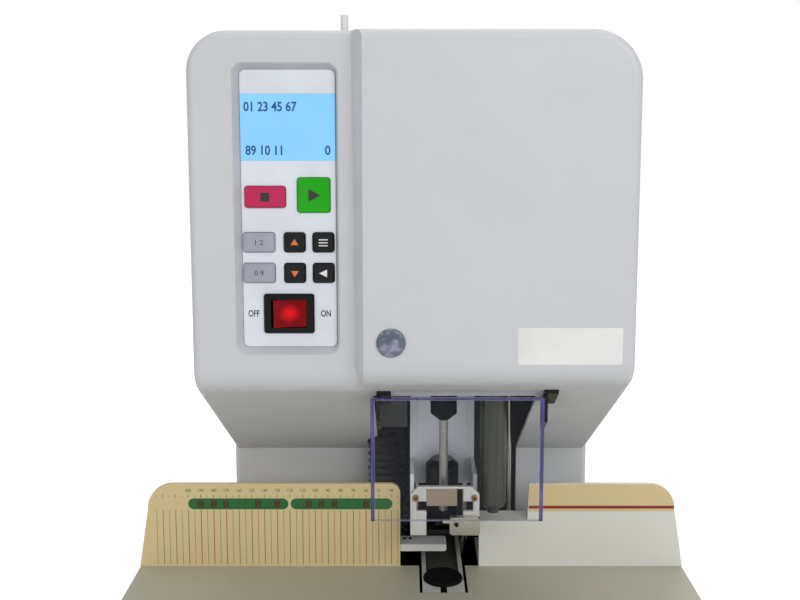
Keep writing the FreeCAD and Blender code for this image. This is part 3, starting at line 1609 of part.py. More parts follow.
def make_tube():
    y = fence_line - c.tube_ahead
    top = head_top + c.tube_above
    low = top - c.tube_length
    half = c.feeder_side / 2
    inner_top = head_top - c.shell_wall
    body_low = low - c.feeder_floor
    body_top = low + c.feeder_tall
    feeder = Body("tube_feeder")
    feeder.add("XY", body_low, body_top,
               rounded(c.tube_x - half, c.tube_x + half, y - half * 1.4, y + half * 1.4,
                       c.motor_corner))
    flange = c.shell_wall
    feeder.add("XY", body_top, inner_top - flange, circle(c.tube_x, y, collar_radius))
    feeder.add("XY", inner_top - flange, inner_top, circle(c.tube_x, y, collar_radius * 1.7))
    feeder.add("XY", inner_top, head_top + flange, circle(c.tube_x, y, collar_radius))
    feeder.dress("Chamfer", flange / 3, lies_on("Z", head_top + flange))
    feeder.cut("XY", low, head_top + flange + 1, circle(c.tube_x, y, c.tube_radius + c.play))
    keep(feeder.thing)
    tube = Body("rivet_tube")
    tube.add("XY", low, top, circle(c.tube_x, y, c.tube_radius),
             circle(c.tube_x, y, c.tube_radius * 0.6))
    keep(tube.thing)


def make_electrics():
    wall = c.inlet_wall
    half_wide = inlet_width / 2
    half_tall = inlet_height / 2
    flange_wide = half_wide + c.inlet_ear
    socket_back = rear_wall - c.inlet_depth
    inlet = Body("power_inlet")
    inlet.add("XZ", rear_wall, rear,
              rounded(inlet_x - flange_wide, inlet_x + flange_wide,
                      inlet_z - half_tall - wall, inlet_z + half_tall + wall, wall))
    inlet.add("XZ", socket_back - wall, rear_wall,
              rectangle(inlet_x - half_wide + c.play, inlet_x + half_wide - c.play,
                        inlet_z - half_tall + c.play, inlet_z + half_tall - c.play))
    inlet.cut("XZ", socket_back, rear + 1,
              rectangle(inlet_x - half_wide + wall, inlet_x + half_wide - wall,
                        inlet_z - half_tall + wall, inlet_z + half_tall - wall))
    blade = c.inlet_blade
    for turn in (-1, 0, 1):
        x = inlet_x + c.inlet_pitch * turn
        z = inlet_z - blade * (1 - abs(turn))
        inlet.add("XZ", socket_back, rear_wall - blade,
                  rectangle(x - blade / 2, x + blade / 2, z - blade, z + blade))
    keep(inlet.thing)
    left = -tail_half + c.base_wall * 3
    step = c.core_side / 5
    far = socket_back - wall - c.transformer_gap - step
    near = far - c.core_side
    top = floor_top + c.core_side * 1.1
    core = block("transformer_core", left, left + c.core_side, near, far, floor_top, top)
    coil = block("transformer_coil", left + step, left + c.core_side - step, near - step,
                 far + step, floor_top + step, top - step)
    keep(combine("MultiFuse", "transformer", [core, coil]))


def write_parts():
    doc.recompute()
    failed = [thing for thing in doc.Objects if "Invalid" in thing.State or "Error" in thing.State]
    if failed:
        owners = [(thing.Label, [user.Label for user in thing.InList]) for thing in failed]
        raise RuntimeError(f"failed: {owners}")
    unsound = [thing.Label for thing in nodes
               if thing.Shape.isNull() or not thing.Shape.isValid() or not thing.Shape.Solids]
    if unsound:
        raise RuntimeError(f"no sound shape: {unsound}")
    for thing in nodes:
        thing.Shape.exportStep(f"parts/{thing.Label}.step")
        print(f"{thing.Label}: {len(thing.Shape.Solids)} solid(s), {thing.Shape.Volume:.0f} mm3")


make_feet()
make_base()
make_floor()
make_table()
make_drawer()
make_fence_left()
make_fence_right()
make_fence_screws()
make_head_shell()
make_front_cover()
make_rear_cover()
make_panel()
make_keys()
make_switch()
make_boards()
make_lens()
make_guard()
make_main_frame()
make_rods()
make_presser()
make_shift_frame()
make_drill()
make_press()
make_arm()
make_hose()
make_tube()
make_electrics()
write_parts()
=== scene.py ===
import bmesh
import bpy
import math
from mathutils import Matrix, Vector


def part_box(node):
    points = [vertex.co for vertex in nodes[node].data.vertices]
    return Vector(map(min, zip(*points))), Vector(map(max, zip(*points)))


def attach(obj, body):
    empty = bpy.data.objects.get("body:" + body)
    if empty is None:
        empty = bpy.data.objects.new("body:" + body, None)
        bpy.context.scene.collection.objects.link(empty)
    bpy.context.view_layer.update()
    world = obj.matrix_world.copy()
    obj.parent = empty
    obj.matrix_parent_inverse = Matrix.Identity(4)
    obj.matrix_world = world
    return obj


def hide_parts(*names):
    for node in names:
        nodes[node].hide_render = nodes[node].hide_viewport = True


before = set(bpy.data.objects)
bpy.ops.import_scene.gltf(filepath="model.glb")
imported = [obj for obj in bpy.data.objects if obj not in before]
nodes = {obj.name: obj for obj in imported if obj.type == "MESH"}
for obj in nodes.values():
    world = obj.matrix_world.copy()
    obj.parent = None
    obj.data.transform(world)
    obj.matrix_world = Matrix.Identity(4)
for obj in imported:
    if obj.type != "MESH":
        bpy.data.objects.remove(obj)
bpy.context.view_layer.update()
MM = 0.001

# The middle part of a noise texture's output, where nearly all its values lie
NOISE_LOW = 0.3
NOISE_HIGH = 0.7

# The colour sockets of a Mix node, by number because its other sockets share their names
MIX_FACTOR = 0
MIX_FIRST = 6
MIX_LAST = 7
MIX_RESULT = 2


# Colours and material nodes

def linear(value):
    """One display value from 0 to 1 as linear light."""
    return value / 12.92 if value <= 0.04045 else ((value + 0.055) / 1.055) ** 2.4


def srgb(red, green, blue):
    """A display colour from 0 to 255 as linear light."""
    return tuple(linear(value / 255) for value in (red, green, blue)) + (1.0,)


class Surface:
    """One procedural material: colour, roughness and bump from object-space nodes."""

    def __init__(self, name, colour, roughness=0.5, metallic=0.0, **constants):
        self.material = bpy.data.materials.new(name)
        self.material.use_nodes = True
        self.tree = self.material.node_tree
        self.shader = self.tree.nodes["Principled BSDF"]
        self.coords = self.tree.nodes.new("ShaderNodeTexCoord")
        self.place = self.coords.outputs["Object"]
        self.colour = colour
        self.shown = colour
        self.height = None
        self.shader.inputs["Base Color"].default_value = colour
        self.shader.inputs["Roughness"].default_value = roughness
        self.shader.inputs["Metallic"].default_value = metallic
        for socket, value in constants.items():
            self.shader.inputs[socket.replace("_", " ")].default_value = value

    def node(self, kind, **settings):
        """A new shader node with the given settings."""
        made = self.tree.nodes.new("ShaderNode" + kind)
        for name, value in settings.items():
            setattr(made, name, value)
        return made

    def link(self, source, target):
        self.tree.links.new(source, target)

    def axis(self, letter):
        """The place along one axis, in metres."""
        split = self.node("SeparateXYZ")
        self.link(self.place, split.inputs["Vector"])
        return split.outputs[letter]

    def combine(self, first, second, operation):
        """One number from two, by a Math node."""
        maths = self.node("Math", operation=operation)
        self.link(first, maths.inputs[0])
        self.link(second, maths.inputs[1])
        return maths.outputs[0]

    def away_from(self, centre, reach):
        """Distance from a point, with each axis divided by its own reach."""
        moved = self.node("VectorMath", operation="SUBTRACT")
        moved.inputs[1].default_value = centre
        self.link(self.place, moved.inputs[0])
        scaled = self.node("VectorMath", operation="DIVIDE")
        scaled.inputs[1].default_value = reach
        self.link(moved.outputs["Vector"], scaled.inputs[0])
        length = self.node("VectorMath", operation="LENGTH")
        self.link(scaled.outputs["Vector"], length.inputs[0])
        return length.outputs["Value"]

    def cells(self, scale, output):
        """One output of a cell pattern."""
        texture = self.node("TexVoronoi")
        texture.inputs["Scale"].default_value = scale
        self.link(self.place, texture.inputs["Vector"])
        return texture.outputs[output]

    def stretched(self, scale):
        """The place, with each axis scaled on its own."""
        mapping = self.node("Mapping")
        mapping.inputs["Scale"].default_value = scale
        self.link(self.place, mapping.inputs["Vector"])
        return mapping.outputs["Vector"]

    def noise(self, scale, detail=3.0, rough=0.55, stretch=None):
        """Smooth noise over the place, or over the stretched place."""
        texture = self.node("TexNoise")
        texture.inputs["Scale"].default_value = scale
        texture.inputs["Detail"].default_value = detail
        texture.inputs["Roughness"].default_value = rough
        self.link(self.stretched(stretch) if stretch else self.place, texture.inputs["Vector"])
        return texture.outputs["Fac"]

    def ramp(self, source, low, high, first, last):
        """Maps a source between two stops onto two numbers."""
        mapped = self.node("MapRange")
        for socket, value in (("From Min", low), ("From Max", high),
                              ("To Min", first), ("To Max", last)):
            mapped.inputs[socket].default_value = value
        self.link(source, mapped.inputs["Value"])
        return mapped.outputs["Result"]

    def mix(self, factor, first, last):
        """Mixes two colours or colour outputs."""
        mixed = self.node("Mix", data_type="RGBA")
        self.link(factor, mixed.inputs[MIX_FACTOR])
        for number, value in ((MIX_FIRST, first), (MIX_LAST, last)):
            if isinstance(value, tuple):
                mixed.inputs[number].default_value = value
            else:
                self.link(value, mixed.inputs[number])
        return mixed.outputs[MIX_RESULT]

    def show(self, output):
        """Makes a colour output the one that the shader shows."""
        self.shown = output
        self.link(output, self.shader.inputs["Base Color"])

    def vary(self, scale, amount, stretch=None):
        """Lets the colour drift lighter and darker by a fraction."""
        factor = self.ramp(self.noise(scale, stretch=stretch), NOISE_LOW, NOISE_HIGH, 0.0, 1.0)
        dark = tuple(v * (1 - amount) for v in self.colour[:3]) + (1.0,)
        light = tuple(min(1.0, v * (1 + amount)) for v in self.colour[:3]) + (1.0,)
        self.show(self.mix(factor, dark, light))

    def tint(self, mask, colour):
        """Lays a second colour over the first where the mask is 1."""
        self.show(self.mix(mask, self.shown, colour))

    def rough(self, scale, low, high, stretch=None):
        """Lets the roughness drift between two values."""
        noise = self.noise(scale, stretch=stretch)
        self.link(self.ramp(noise, NOISE_LOW, NOISE_HIGH, low, high),
                  self.shader.inputs["Roughness"])

    def bump(self, source, distance, strength=1.0):
        """Adds one height source to those that the surface has."""
        bumped = self.node("Bump")
        bumped.inputs["Distance"].default_value = distance
        bumped.inputs["Strength"].default_value = strength
        self.link(source, bumped.inputs["Height"])
        if self.height is not None:
            self.link(self.height, bumped.inputs["Normal"])
        self.height = bumped.outputs["Normal"]
        self.link(self.height, self.shader.inputs["Normal"])

    def dust(self, colour, amount):
        """Fades a little dust or wear colour in over a coarse noise."""
        mask = self.ramp(self.noise(38, 6.0, 0.65), 0.52, 0.78, 0.0, amount)
        self.tint(mask, colour)


def powder_coat(name, colour, grain=1500, gloss=0.42):
    """Sprayed paint with a fine grain and a faint orange peel."""
    made = Surface(name, colour, gloss, Coat_Weight=0.08, Coat_Roughness=0.3)
    made.vary(9, 0.025)
    made.rough(60, gloss - 0.06, gloss + 0.08)
    made.bump(made.noise(grain, 2.0, 0.5), 0.00012, 0.55)
    made.bump(made.noise(grain / 6, 2.0, 0.5), 0.0003, 0.12)
    return made


def moulded(name, colour, gloss=0.45, grain=2600):
    """Plastic, rubber or ink with a very fine texture."""
    made = Surface(name, colour, gloss)
    made.vary(22, 0.06)
    made.rough(140, gloss - 0.07, gloss + 0.1)
    made.bump(made.noise(grain, 2.0, 0.6), 0.00006, 0.5)
    return made


def glossy(name, colour, gloss=0.2, coat=0.3, specular=0.5):
    """Smooth plastic or lacquer."""
    made = Surface(name, colour, gloss, Coat_Weight=coat, Coat_Roughness=0.1,
                   Specular_IOR_Level=specular)
    made.vary(40, 0.08)
    made.rough(90, gloss - 0.05, gloss + 0.08)
    made.bump(made.noise(300, 2.0, 0.4), 0.00008, 0.15)
    return made


def brushed(name, colour, gloss=0.35, grain=(1.0, 40.0, 40.0), metallic=0.9):
    """Metal with brush lines, which run along the axes where the grain is 1."""
    made = Surface(name, colour, gloss, metallic)
    made.vary(60, 0.12, grain)
    made.rough(90, gloss - 0.1, gloss + 0.12, grain)
    made.bump(made.noise(220, 3.0, 0.6, grain), 0.00005, 0.35)
    return made


def polished(name, colour, gloss=0.16):
    """Turned, plated or polished metal."""
    made = Surface(name, colour, gloss, 1.0)
    made.vary(30, 0.08)
    made.rough(200, gloss - 0.06, gloss + 0.08)
    made.bump(made.noise(900, 2.0, 0.5, (1.0, 1.0, 8.0)), 0.00002, 0.3)
    return made


# Paints. The left fence's cream print ends where its plain ledge starts.
LEDGE_START = -8.5 * MM
LEDGE_FADE = 0.2 * MM

BODY_PAINT = powder_coat("body_paint", srgb(203, 205, 208))
BODY_PAINT.dust(srgb(194, 195, 196), 0.2)
TABLE_PAINT = powder_coat("table_paint", srgb(177, 174, 157), 1100, 0.5)
TABLE_PAINT.dust(srgb(166, 162, 145), 0.4)
DARK_PAINT = powder_coat("dark_paint", srgb(54, 54, 56), 1300, 0.5)
DARK_PAINT.dust(srgb(90, 88, 84), 0.25)
FRAME_PAINT = powder_coat("frame_paint", srgb(20, 21, 24), 1300, 0.5)
FENCE_PRINT = powder_coat("fence_cream", srgb(216, 195, 146), 1800, 0.5)
FENCE_PLAIN = powder_coat("fence_white", srgb(220, 220, 212), 1800, 0.5)
FENCE_LEDGE = powder_coat("fence_ledge", srgb(216, 195, 146), 1800, 0.5)
on_ledge = FENCE_LEDGE.ramp(FENCE_LEDGE.axis("X"), LEDGE_START, LEDGE_START + LEDGE_FADE, 0.0, 1.0)
FENCE_LEDGE.tint(on_ledge, srgb(216, 216, 214))

# Plastics and rubber
TRAY = moulded("tray_pale", srgb(188, 190, 196), 0.38)
FILM = moulded("panel_film", srgb(222, 226, 234), 0.36)
RUBBER = moulded("rubber_black", srgb(28, 28, 29), 0.7, 1600)
BLACK = moulded("black_plastic", srgb(20, 21, 24), 0.42)
NOZZLE = glossy("nozzle_black", srgb(8, 8, 9), 0.3, 0.1, 0.25)
BLACK_GLOSS = glossy("black_gloss", srgb(7, 7, 9), 0.24, 0.05, 0.25)

# Metals and coated plates
ZINC = polished("zinc_steel", srgb(176, 178, 180), 0.3)
BRIGHT = polished("bright_steel", srgb(196, 196, 194), 0.2)
TOOL_STEEL = brushed("tool_steel", srgb(158, 158, 155), 0.38, (1.0, 1.0, 40.0))
SATIN = brushed("satin_frame", srgb(205, 205, 203), 0.42, (40.0, 1.0, 1.0), 0.35)
SLAB = Surface("slab_steel", srgb(232, 237, 246), 0.36, 0.2)
SLAB.vary(26, 0.07, (1.0, 1.0, 0.25))
SLAB.rough(60, 0.3, 0.44, (1.0, 1.0, 0.3))
SLAB.bump(SLAB.noise(1400, 2.0, 0.5, (1.0, 1.0, 0.06)), 0.00002, 0.25)
NICKEL = polished("nickel", srgb(186, 183, 168), 0.22)
YELLOW_ZINC = polished("yellow_zinc", srgb(150, 114, 62), 0.3)
BEIGE = moulded("beige_plate", srgb(150, 135, 118), 0.5)
MOTOR = brushed("motor_case", srgb(70, 72, 76), 0.42, (1.0, 1.0, 30.0), 0.6)
MOTOR_BLACK = glossy("motor_black", srgb(20, 21, 25), 0.34, 0.1, 0.4)
ALLOY = brushed("cast_alloy", srgb(168, 170, 172), 0.4, (1.0, 1.0, 1.0), 0.85)
OXIDE = polished("black_oxide", srgb(24, 28, 38), 0.36)
BARREL = Surface("barrel_steel", srgb(76, 79, 71), 0.3, 0.8)
BARREL.vary(170, 0.35, (1.0, 1.0, 0.03))
BARREL.rough(220, 0.22, 0.42, (1.0, 1.0, 0.05))
BARREL.bump(BARREL.noise(900, 2.0, 0.5, (1.0, 1.0, 0.04)), 0.00002, 0.3)
ARM = brushed("arm_satin", srgb(214, 214, 209), 0.36, (40.0, 1.0, 1.0), 0.35)

# Pad, tube, boards, hose and lens
ARM_TRAY = moulded("arm_insert", srgb(66, 66, 58), 0.38)
PAD = moulded("pad_black", srgb(5, 5, 5), 0.7)
PAD.shader.inputs["Specular IOR Level"].default_value = 0.15
NYLON = moulded("nylon_tube", srgb(226, 225, 220), 0.4)
BOARD = glossy("board_green", srgb(24, 84, 52), 0.4)
IRON = moulded("transformer_iron", srgb(92, 84, 78), 0.55)
HOSE = glossy("hose_black", srgb(17, 18, 20), 0.3)
LENS = glossy("lens_slate", srgb(92, 100, 114), 0.16)
LENS.tint(LENS.ramp(LENS.noise(190, 1.0, 0.4), 0.5, 0.68, 0.0, 0.75), srgb(164, 158, 188))
LENS.bump(LENS.cells(200, "Distance"), 0.0001, 0.3)

# Keys and inks
KEY_STOP = glossy("key_magenta", srgb(196, 40, 90), 0.36, 0.05, 0.3)
KEY_START = glossy("key_green", srgb(28, 170, 12), 0.36, 0.05, 0.25)
KEY_GREY = glossy("key_grey", srgb(162, 166, 178), 0.36)
KEY_BLACK = glossy("key_black", srgb(17, 20, 25), 0.34, 0.05, 0.3)
PRINT_BLACK = moulded("print_black", srgb(44, 45, 48), 0.5)
PRINT_GREEN = moulded("print_green", srgb(34, 104, 46), 0.5)
PRINT_BROWN = moulded("print_brown", srgb(70, 58, 36), 0.5)
PRINT_LINE = moulded("print_line", srgb(112, 132, 72), 0.5)
PRINT_RED = moulded("print_red", srgb(166, 92, 64), 0.5)
PRINT_STRIPE = moulded("print_stripe", srgb(142, 36, 30), 0.5)
PRINT_BLUE = moulded("print_blue", srgb(36, 82, 150), 0.5)
PRINT_ORANGE = moulded("print_orange", srgb(216, 118, 40), 0.5)
PRINT_WHITE = moulded("print_white", srgb(232, 232, 230), 0.45)

# Display
LCD = Surface("lcd_screen", srgb(128, 192, 238), 0.12, Coat_Weight=0.5, Coat_Roughness=0.06,
              Emission_Color=srgb(120, 194, 246), Emission_Strength=0.33)
LCD.vary(14, 0.10)
LCD.bump(LCD.noise(2400, 1.0), 0.00002, 0.3)

# Power rocker, brightest in its middle where the lamp is
rocker_low, rocker_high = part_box("power_rocker")
rocker_middle = (rocker_low + rocker_high) / 2
ROCKER_REACH = (7 * MM, 1.0, 6 * MM)
ROCKER = Surface("rocker_red", srgb(118, 3, 8), 0.24,
                 Coat_Weight=0.03, Specular_IOR_Level=0.12,
                 Emission_Color=srgb(226, 16, 30), Emission_Strength=0.04)
ROCKER.vary(160, 0.2)
near_lamp = ROCKER.ramp(ROCKER.away_from(rocker_middle, ROCKER_REACH), 0.2, 1.1, 1.0, 0.0)
ROCKER.tint(near_lamp, srgb(232, 12, 26))

# Clear guard, nearly invisible but for its cut edges
PANE_RISE = 3.4 * MM
PANE_GAUGE = 3.1 * MM
EDGE_FADE = 0.6 * MM
TOP_EDGE = 1.6 * MM
LOW_EDGE = 0.4 * MM
LOW_EDGE_SHARE = 0.5
FRONT_DEPTH = 3.2 * MM
FRONT_FADE = 0.8 * MM
PANE_ALPHA = 0.012
EDGE_ALPHA = 0.9

guard_low, guard_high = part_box("guard_shield")
pane_points = [v.co for v in nodes["guard_shield"].data.vertices
               if v.co.y < guard_low.y + 0.5 * MM]
pane_top = PANE_RISE + max(co.z for co in pane_points)
GUARD = Surface("guard_clear", srgb(196, 202, 214), 0.08, IOR=1.49)


def guard_edge(axis, start, end, at_start, at_end):
    """A mask over the guard that changes between two places on an axis."""
    return GUARD.ramp(GUARD.axis(axis), start, end, at_start, at_end)


edges = guard_edge("X", guard_low.x + PANE_GAUGE - EDGE_FADE, guard_low.x + PANE_GAUGE, 1.0, 0.0)
for more in (
        guard_edge("X", guard_high.x - PANE_GAUGE, guard_high.x - PANE_GAUGE + EDGE_FADE, 0.0, 1.0),
        guard_edge("Z", pane_top - TOP_EDGE, pane_top - TOP_EDGE + EDGE_FADE, 0.0, 1.0),
        guard_edge("Z", guard_low.z + LOW_EDGE, guard_low.z + 2 * LOW_EDGE, LOW_EDGE_SHARE, 0.0)):
    edges = GUARD.combine(edges, more, "MAXIMUM")
front_end = guard_low.y + FRONT_DEPTH
front_only = guard_edge("Y", front_end, front_end + FRONT_FADE, 1.0, 0.0)
edges = GUARD.combine(edges, front_only, "MULTIPLY")
streaks = GUARD.ramp(GUARD.noise(500, 2.0, 0.5, (1.0, 1.0, 0.08)), 0.42, 0.66, 0.0, 0.75)
GUARD.vary(30, 0.02)
GUARD.tint(edges, srgb(52, 48, 106))
GUARD.tint(GUARD.combine(edges, streaks, "MULTIPLY"), srgb(92, 88, 160))
GUARD.link(GUARD.ramp(edges, 0.0, 1.0, PANE_ALPHA, EDGE_ALPHA), GUARD.shader.inputs["Alpha"])
GUARD.rough(300, 0.03, 0.09)

# Surfaces of the CAD nodes: housing, panel, drawer, presser, heads, and arm and tube
NODE_SURFACES = {
    "rubber_feet": RUBBER, "base_housing": DARK_PAINT, "bottom_plate": ZINC,
    "table_plate": TABLE_PAINT, "fence_left": FENCE_LEDGE, "fence_right": FENCE_PLAIN,
    "fence_screws": BLACK, "head_shell": BODY_PAINT, "front_cover": BODY_PAINT,
    "rear_cover": BODY_PAINT, "cover_screws": ZINC, "control_panel": TRAY, "panel_plate": FILM,
    "lcd_module": LCD, "switch_body": BLACK_GLOSS, "circuit_boards": BOARD, "sensor_lens": LENS,
    "guard_shield": GUARD, "guard_brackets": BLACK_GLOSS, "main_frame": FRAME_PAINT,
    "guide_rods": BRIGHT, "lead_screws": ZINC, "chip_hose": HOSE, "tube_feeder": BLACK,
    "power_inlet": BLACK, "transformer": IRON,

    "power_rocker": ROCKER, "key_stop": KEY_STOP, "key_start": KEY_START, "key_mode": KEY_GREY,
    "key_count": KEY_GREY, "key_up": KEY_BLACK, "key_down": KEY_BLACK, "key_menu": KEY_BLACK,
    "key_exit": KEY_BLACK,

    "waste_drawer": DARK_PAINT,

    "presser_bracket": SLAB, "presser_foot": SATIN, "shield_plate": BEIGE, "clamp_block": NICKEL,
    "presser_bolts": YELLOW_ZINC, "chip_nozzle": NOZZLE, "presser_motor": MOTOR_BLACK,

    "shift_frame": FRAME_PAINT, "shift_motor": MOTOR, "feed_posts": BRIGHT, "feed_screws": ZINC,
    "drill_carriage": ALLOY, "drill_motor": MOTOR, "drill_feed_motor": MOTOR,
    "drill_chuck": OXIDE, "drill_bit": TOOL_STEEL, "press_carriage": ALLOY,
    "press_barrel": BARREL, "press_feed_motor": MOTOR,

    "arm_frame": ARM, "arm_tray": ARM_TRAY, "drill_pad": PAD, "lower_die": BARREL,
    "rivet_tube": NYLON,
}

# Softened edges, in millimetres. Nodes that aren't named have the fine edge.
FINE_EDGE = 0.15
SOFT_EDGES = {
    "base_housing": 0.6, "table_plate": 0.3, "fence_left": 0.5, "fence_right": 0.5,
    "head_shell": 0.5, "front_cover": 0.4, "panel_plate": 0.15, "switch_body": 0.3,
    "power_rocker": 0.5, "guard_shield": 0.3, "guard_brackets": 0.4, "presser_bracket": 0.35,
    "presser_foot": 0.25, "clamp_block": 0.4, "chip_nozzle": 0.5, "arm_tray": 0.3,
    "drill_pad": 0.3, "waste_drawer": 0.5, "drill_chuck": 0.3, "press_barrel": 0.3,
    "main_frame": 0.4, "power_inlet": 0.4,
}
WELD_DISTANCE = 0.002 * MM
EDGE_ANGLE = math.radians(38)

# The louvred sheet is all flat faces, so it is shaded flat and has no softened edges
FLAT_SHEETS = {"rear_cover"}


def dress(obj, surface, edge=None):
    """Gives an object its material, smooth shading and softened edges."""
    obj.data.materials.clear()
    obj.data.materials.append(surface.material)
    for face in obj.data.polygons:
        face.use_smooth = True
    weld = obj.modifiers.new("weld", "WELD")
    weld.merge_threshold = WELD_DISTANCE
    bevel = obj.modifiers.new("edges", "BEVEL")
    bevel.width = (edge or FINE_EDGE) * MM
    bevel.segments = 2 if edge else 1
    bevel.limit_method = "ANGLE"
    bevel.angle_limit = EDGE_ANGLE
    normals = obj.modifiers.new("normals", "WEIGHTED_NORMAL")
    normals.keep_sharp = True
    normals.weight = 60


def dress_flat(obj, surface):
    """Gives an object its material and flat shading."""
    obj.data.materials.clear()
    obj.data.materials.append(surface.material)
    for face in obj.data.polygons:
        face.use_smooth = False


for name, surface in NODE_SURFACES.items():
    if name in FLAT_SHEETS:
        dress_flat(nodes[name], surface)
    else:
        dress(nodes[name], surface, SOFT_EDGES.get(name))


# Pieces that stand for CAD nodes

def piece(name, surface, body, vertices=None, faces=None, mesh=None):
    """Puts a mesh, or one made from points and faces, on a body."""
    if mesh is None:
        mesh = bpy.data.meshes.new(name)
        mesh.from_pydata(vertices, [], faces)
        mesh.update()
    mesh.materials.clear()
    mesh.materials.append(surface.material)
    obj = bpy.data.objects.new(name, mesh)
    bpy.context.scene.collection.objects.link(obj)
    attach(obj, body)
    return obj


# The clear guard, whose upper edge stands a little closer under the head than its solid's
PANE_WAIST = 60 * MM
pane = nodes["guard_shield"].data.copy()
for vertex in pane.vertices:
    if vertex.co.z > guard_low.z + PANE_WAIST:
        vertex.co.z += PANE_RISE
guard_pane = piece("guard_pane", GUARD, "machine", mesh=pane)
dress(guard_pane, GUARD, SOFT_EDGES["guard_shield"])
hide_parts("guard_shield")

# The front cover, with a flat slant in place of the rounded side of its step. The rounding
# ends at STEP_WALL, and the slant runs from SLANT_TOP to the left as it goes back.
STEP_WALL = -37.5 * MM
STEP_ROUND = 6.0 * MM
STEP_DEPTH = 13.0 * MM
SLANT_TOP = -32.6 * MM
SLANT_RUN = 0.59
LIP_ROUND = 22.0 * MM
LIP_CENTRE = 307.0 * MM
FACE_SLACK = 0.02 * MM
WALL_SLACK = 0.05 * MM
ARC_SLACK = 0.7 * MM
cover_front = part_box("front_cover")[0].y


def depth_in_cover(co):
    """How far a point lies behind the cover's rounded lip or its flat front."""
    from_front = co.y - cover_front
    if co.z < LIP_CENTRE and from_front < LIP_ROUND:
        return LIP_ROUND - math.hypot(from_front - LIP_ROUND, co.z - LIP_CENTRE)
    return from_front


cover_mesh = nodes["front_cover"].data.copy()
for vertex in cover_mesh.vertices:
    co = vertex.co
    across = STEP_WALL + STEP_ROUND - co.x
    if not -FACE_SLACK <= across <= STEP_ROUND + WALL_SLACK:
        continue
    depth = min(max(depth_in_cover(co), 0.0), STEP_DEPTH)
    arc = STEP_ROUND - math.sqrt(max(0.0, STEP_ROUND ** 2 - across ** 2))
    on_wall = across > STEP_ROUND - WALL_SLACK
    if on_wall or abs(depth - arc) < ARC_SLACK:
        co.x = SLANT_TOP - SLANT_RUN * depth
front_skin = piece("front_skin", BODY_PAINT, "machine", mesh=cover_mesh)
dress(front_skin, BODY_PAINT, SOFT_EDGES["front_cover"])
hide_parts("front_cover")


# Prints

INK = 0.04 * MM
TEXT_SIZE = 1.4


class Print:
    """Flat ink on a plane that faces -Y, gathered into one mesh."""

    def __init__(self, y):
        self.y = y
        self.vertices = []
        self.faces = []

    def shape(self, points):
        """One filled outline."""
        first = len(self.vertices)
        self.vertices += [(x, self.y, z) for x, z in points]
        self.faces.append(list(range(first, first + len(points))))

    def bar(self, left, right, low, high):
        self.shape([(left, low), (right, low), (right, high), (left, high)])

    def stadium(self, left, right, low, high):
        """A bar with round ends."""
        radius = (high - low) / 2
        middle = (high + low) / 2
        points = []
        for centre, start in ((right - radius, -90), (left + radius, 90)):
            for turn in range(start, start + 181, 15):
                turn = math.radians(turn)
                points.append((centre + radius * math.cos(turn),
                               middle + radius * math.sin(turn)))
        self.shape(points)

    def text(self, words, x, z, height, narrow=1.0, align="CENTER", bold=0.0):
        """Plain lettering of a given height, with strokes widened by a share of it."""
        curve = bpy.data.curves.new("lettering", "FONT")
        curve.body = words
        curve.size = height * TEXT_SIZE
        curve.align_x = align
        curve.offset = height * bold
        curve.align_y = "CENTER"
        curve.resolution_u = 3
        holder = bpy.data.objects.new("lettering", curve)
        bpy.context.scene.collection.objects.link(holder)
        bpy.context.view_layer.update()
        flat = bpy.data.meshes.new_from_object(holder)
        first = len(self.vertices)
        self.vertices += [(x + v.co.x * narrow, self.y, z + v.co.y) for v in flat.vertices]
        self.faces += [[first + v for v in face.vertices] for face in flat.polygons]
        bpy.data.objects.remove(holder)
        bpy.data.curves.remove(curve)
        bpy.data.meshes.remove(flat)

    def make(self, name, surface, body):
        return piece(name, surface, body, self.vertices, self.faces)


# Scale on the left fence: a line every 5 mm, and a number at each long one up to 200
SCALE_ZERO = 24.5 * MM
SCALE_STEP = 5
SCALE_STEPS = range(7, 46)
LAST_NUMBER = 200
LONG_LINE = (0.3 * MM, 3.2 * MM)
SHORT_LINE = (0.19 * MM, 2.2 * MM)
LINE_LOW = 116.5 * MM
LINE_GAP = 0.6 * MM
BAND_LOW = 162 * MM
BAND_HIGH = 171 * MM
BAND_ENDS = ((-175.6 * MM, -96.6 * MM), (-94.9 * MM, -14.7 * MM))
NUMBER_MIDDLE = 177.4 * MM
NUMBER_HEIGHT = 2.7 * MM
PATCH_HALF = 2.6 * MM
PATCH_INSET = 1.6 * MM
RED_DISTANCES = {60, 85, 95, 105, 130, 145, 170, 180, 190}

fence_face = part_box("fence_left")[0].y - INK
lines = Print(fence_face)
reds = Print(fence_face - INK / 2)
bands = Print(fence_face - INK)
numbers = Print(fence_face - INK)
patches = Print(fence_face - 2 * INK)
for step in SCALE_STEPS:
    distance = step * SCALE_STEP
    x = SCALE_ZERO - distance * MM
    is_long = step % 2 == 0
    is_red = distance in RED_DISTANCES
    half, rise = LONG_LINE if is_long else SHORT_LINE
    ink = reds if is_red else lines
    ink.bar(x - half, x + half, LINE_LOW, BAND_LOW - LINE_GAP)
    ink.bar(x - half, x + half, BAND_HIGH + LINE_GAP, BAND_HIGH + rise)
    if is_red:
        patches.bar(x - PATCH_HALF, x + PATCH_HALF, BAND_LOW + PATCH_INSET, BAND_HIGH - PATCH_INSET)
    if is_long and distance <= LAST_NUMBER:
        numbers.text(str(distance), x, NUMBER_MIDDLE, NUMBER_HEIGHT, 0.85)
for left, right in BAND_ENDS:
    bands.stadium(left, right, BAND_LOW, BAND_HIGH)
lines.make("scale_lines", PRINT_LINE, "machine")
reds.make("scale_marks", PRINT_RED, "machine")
bands.make("scale_bands", PRINT_GREEN, "machine")
numbers.make("scale_numbers", PRINT_GREEN, "machine")
patches.make("scale_patches", PRINT_BROWN, "machine")

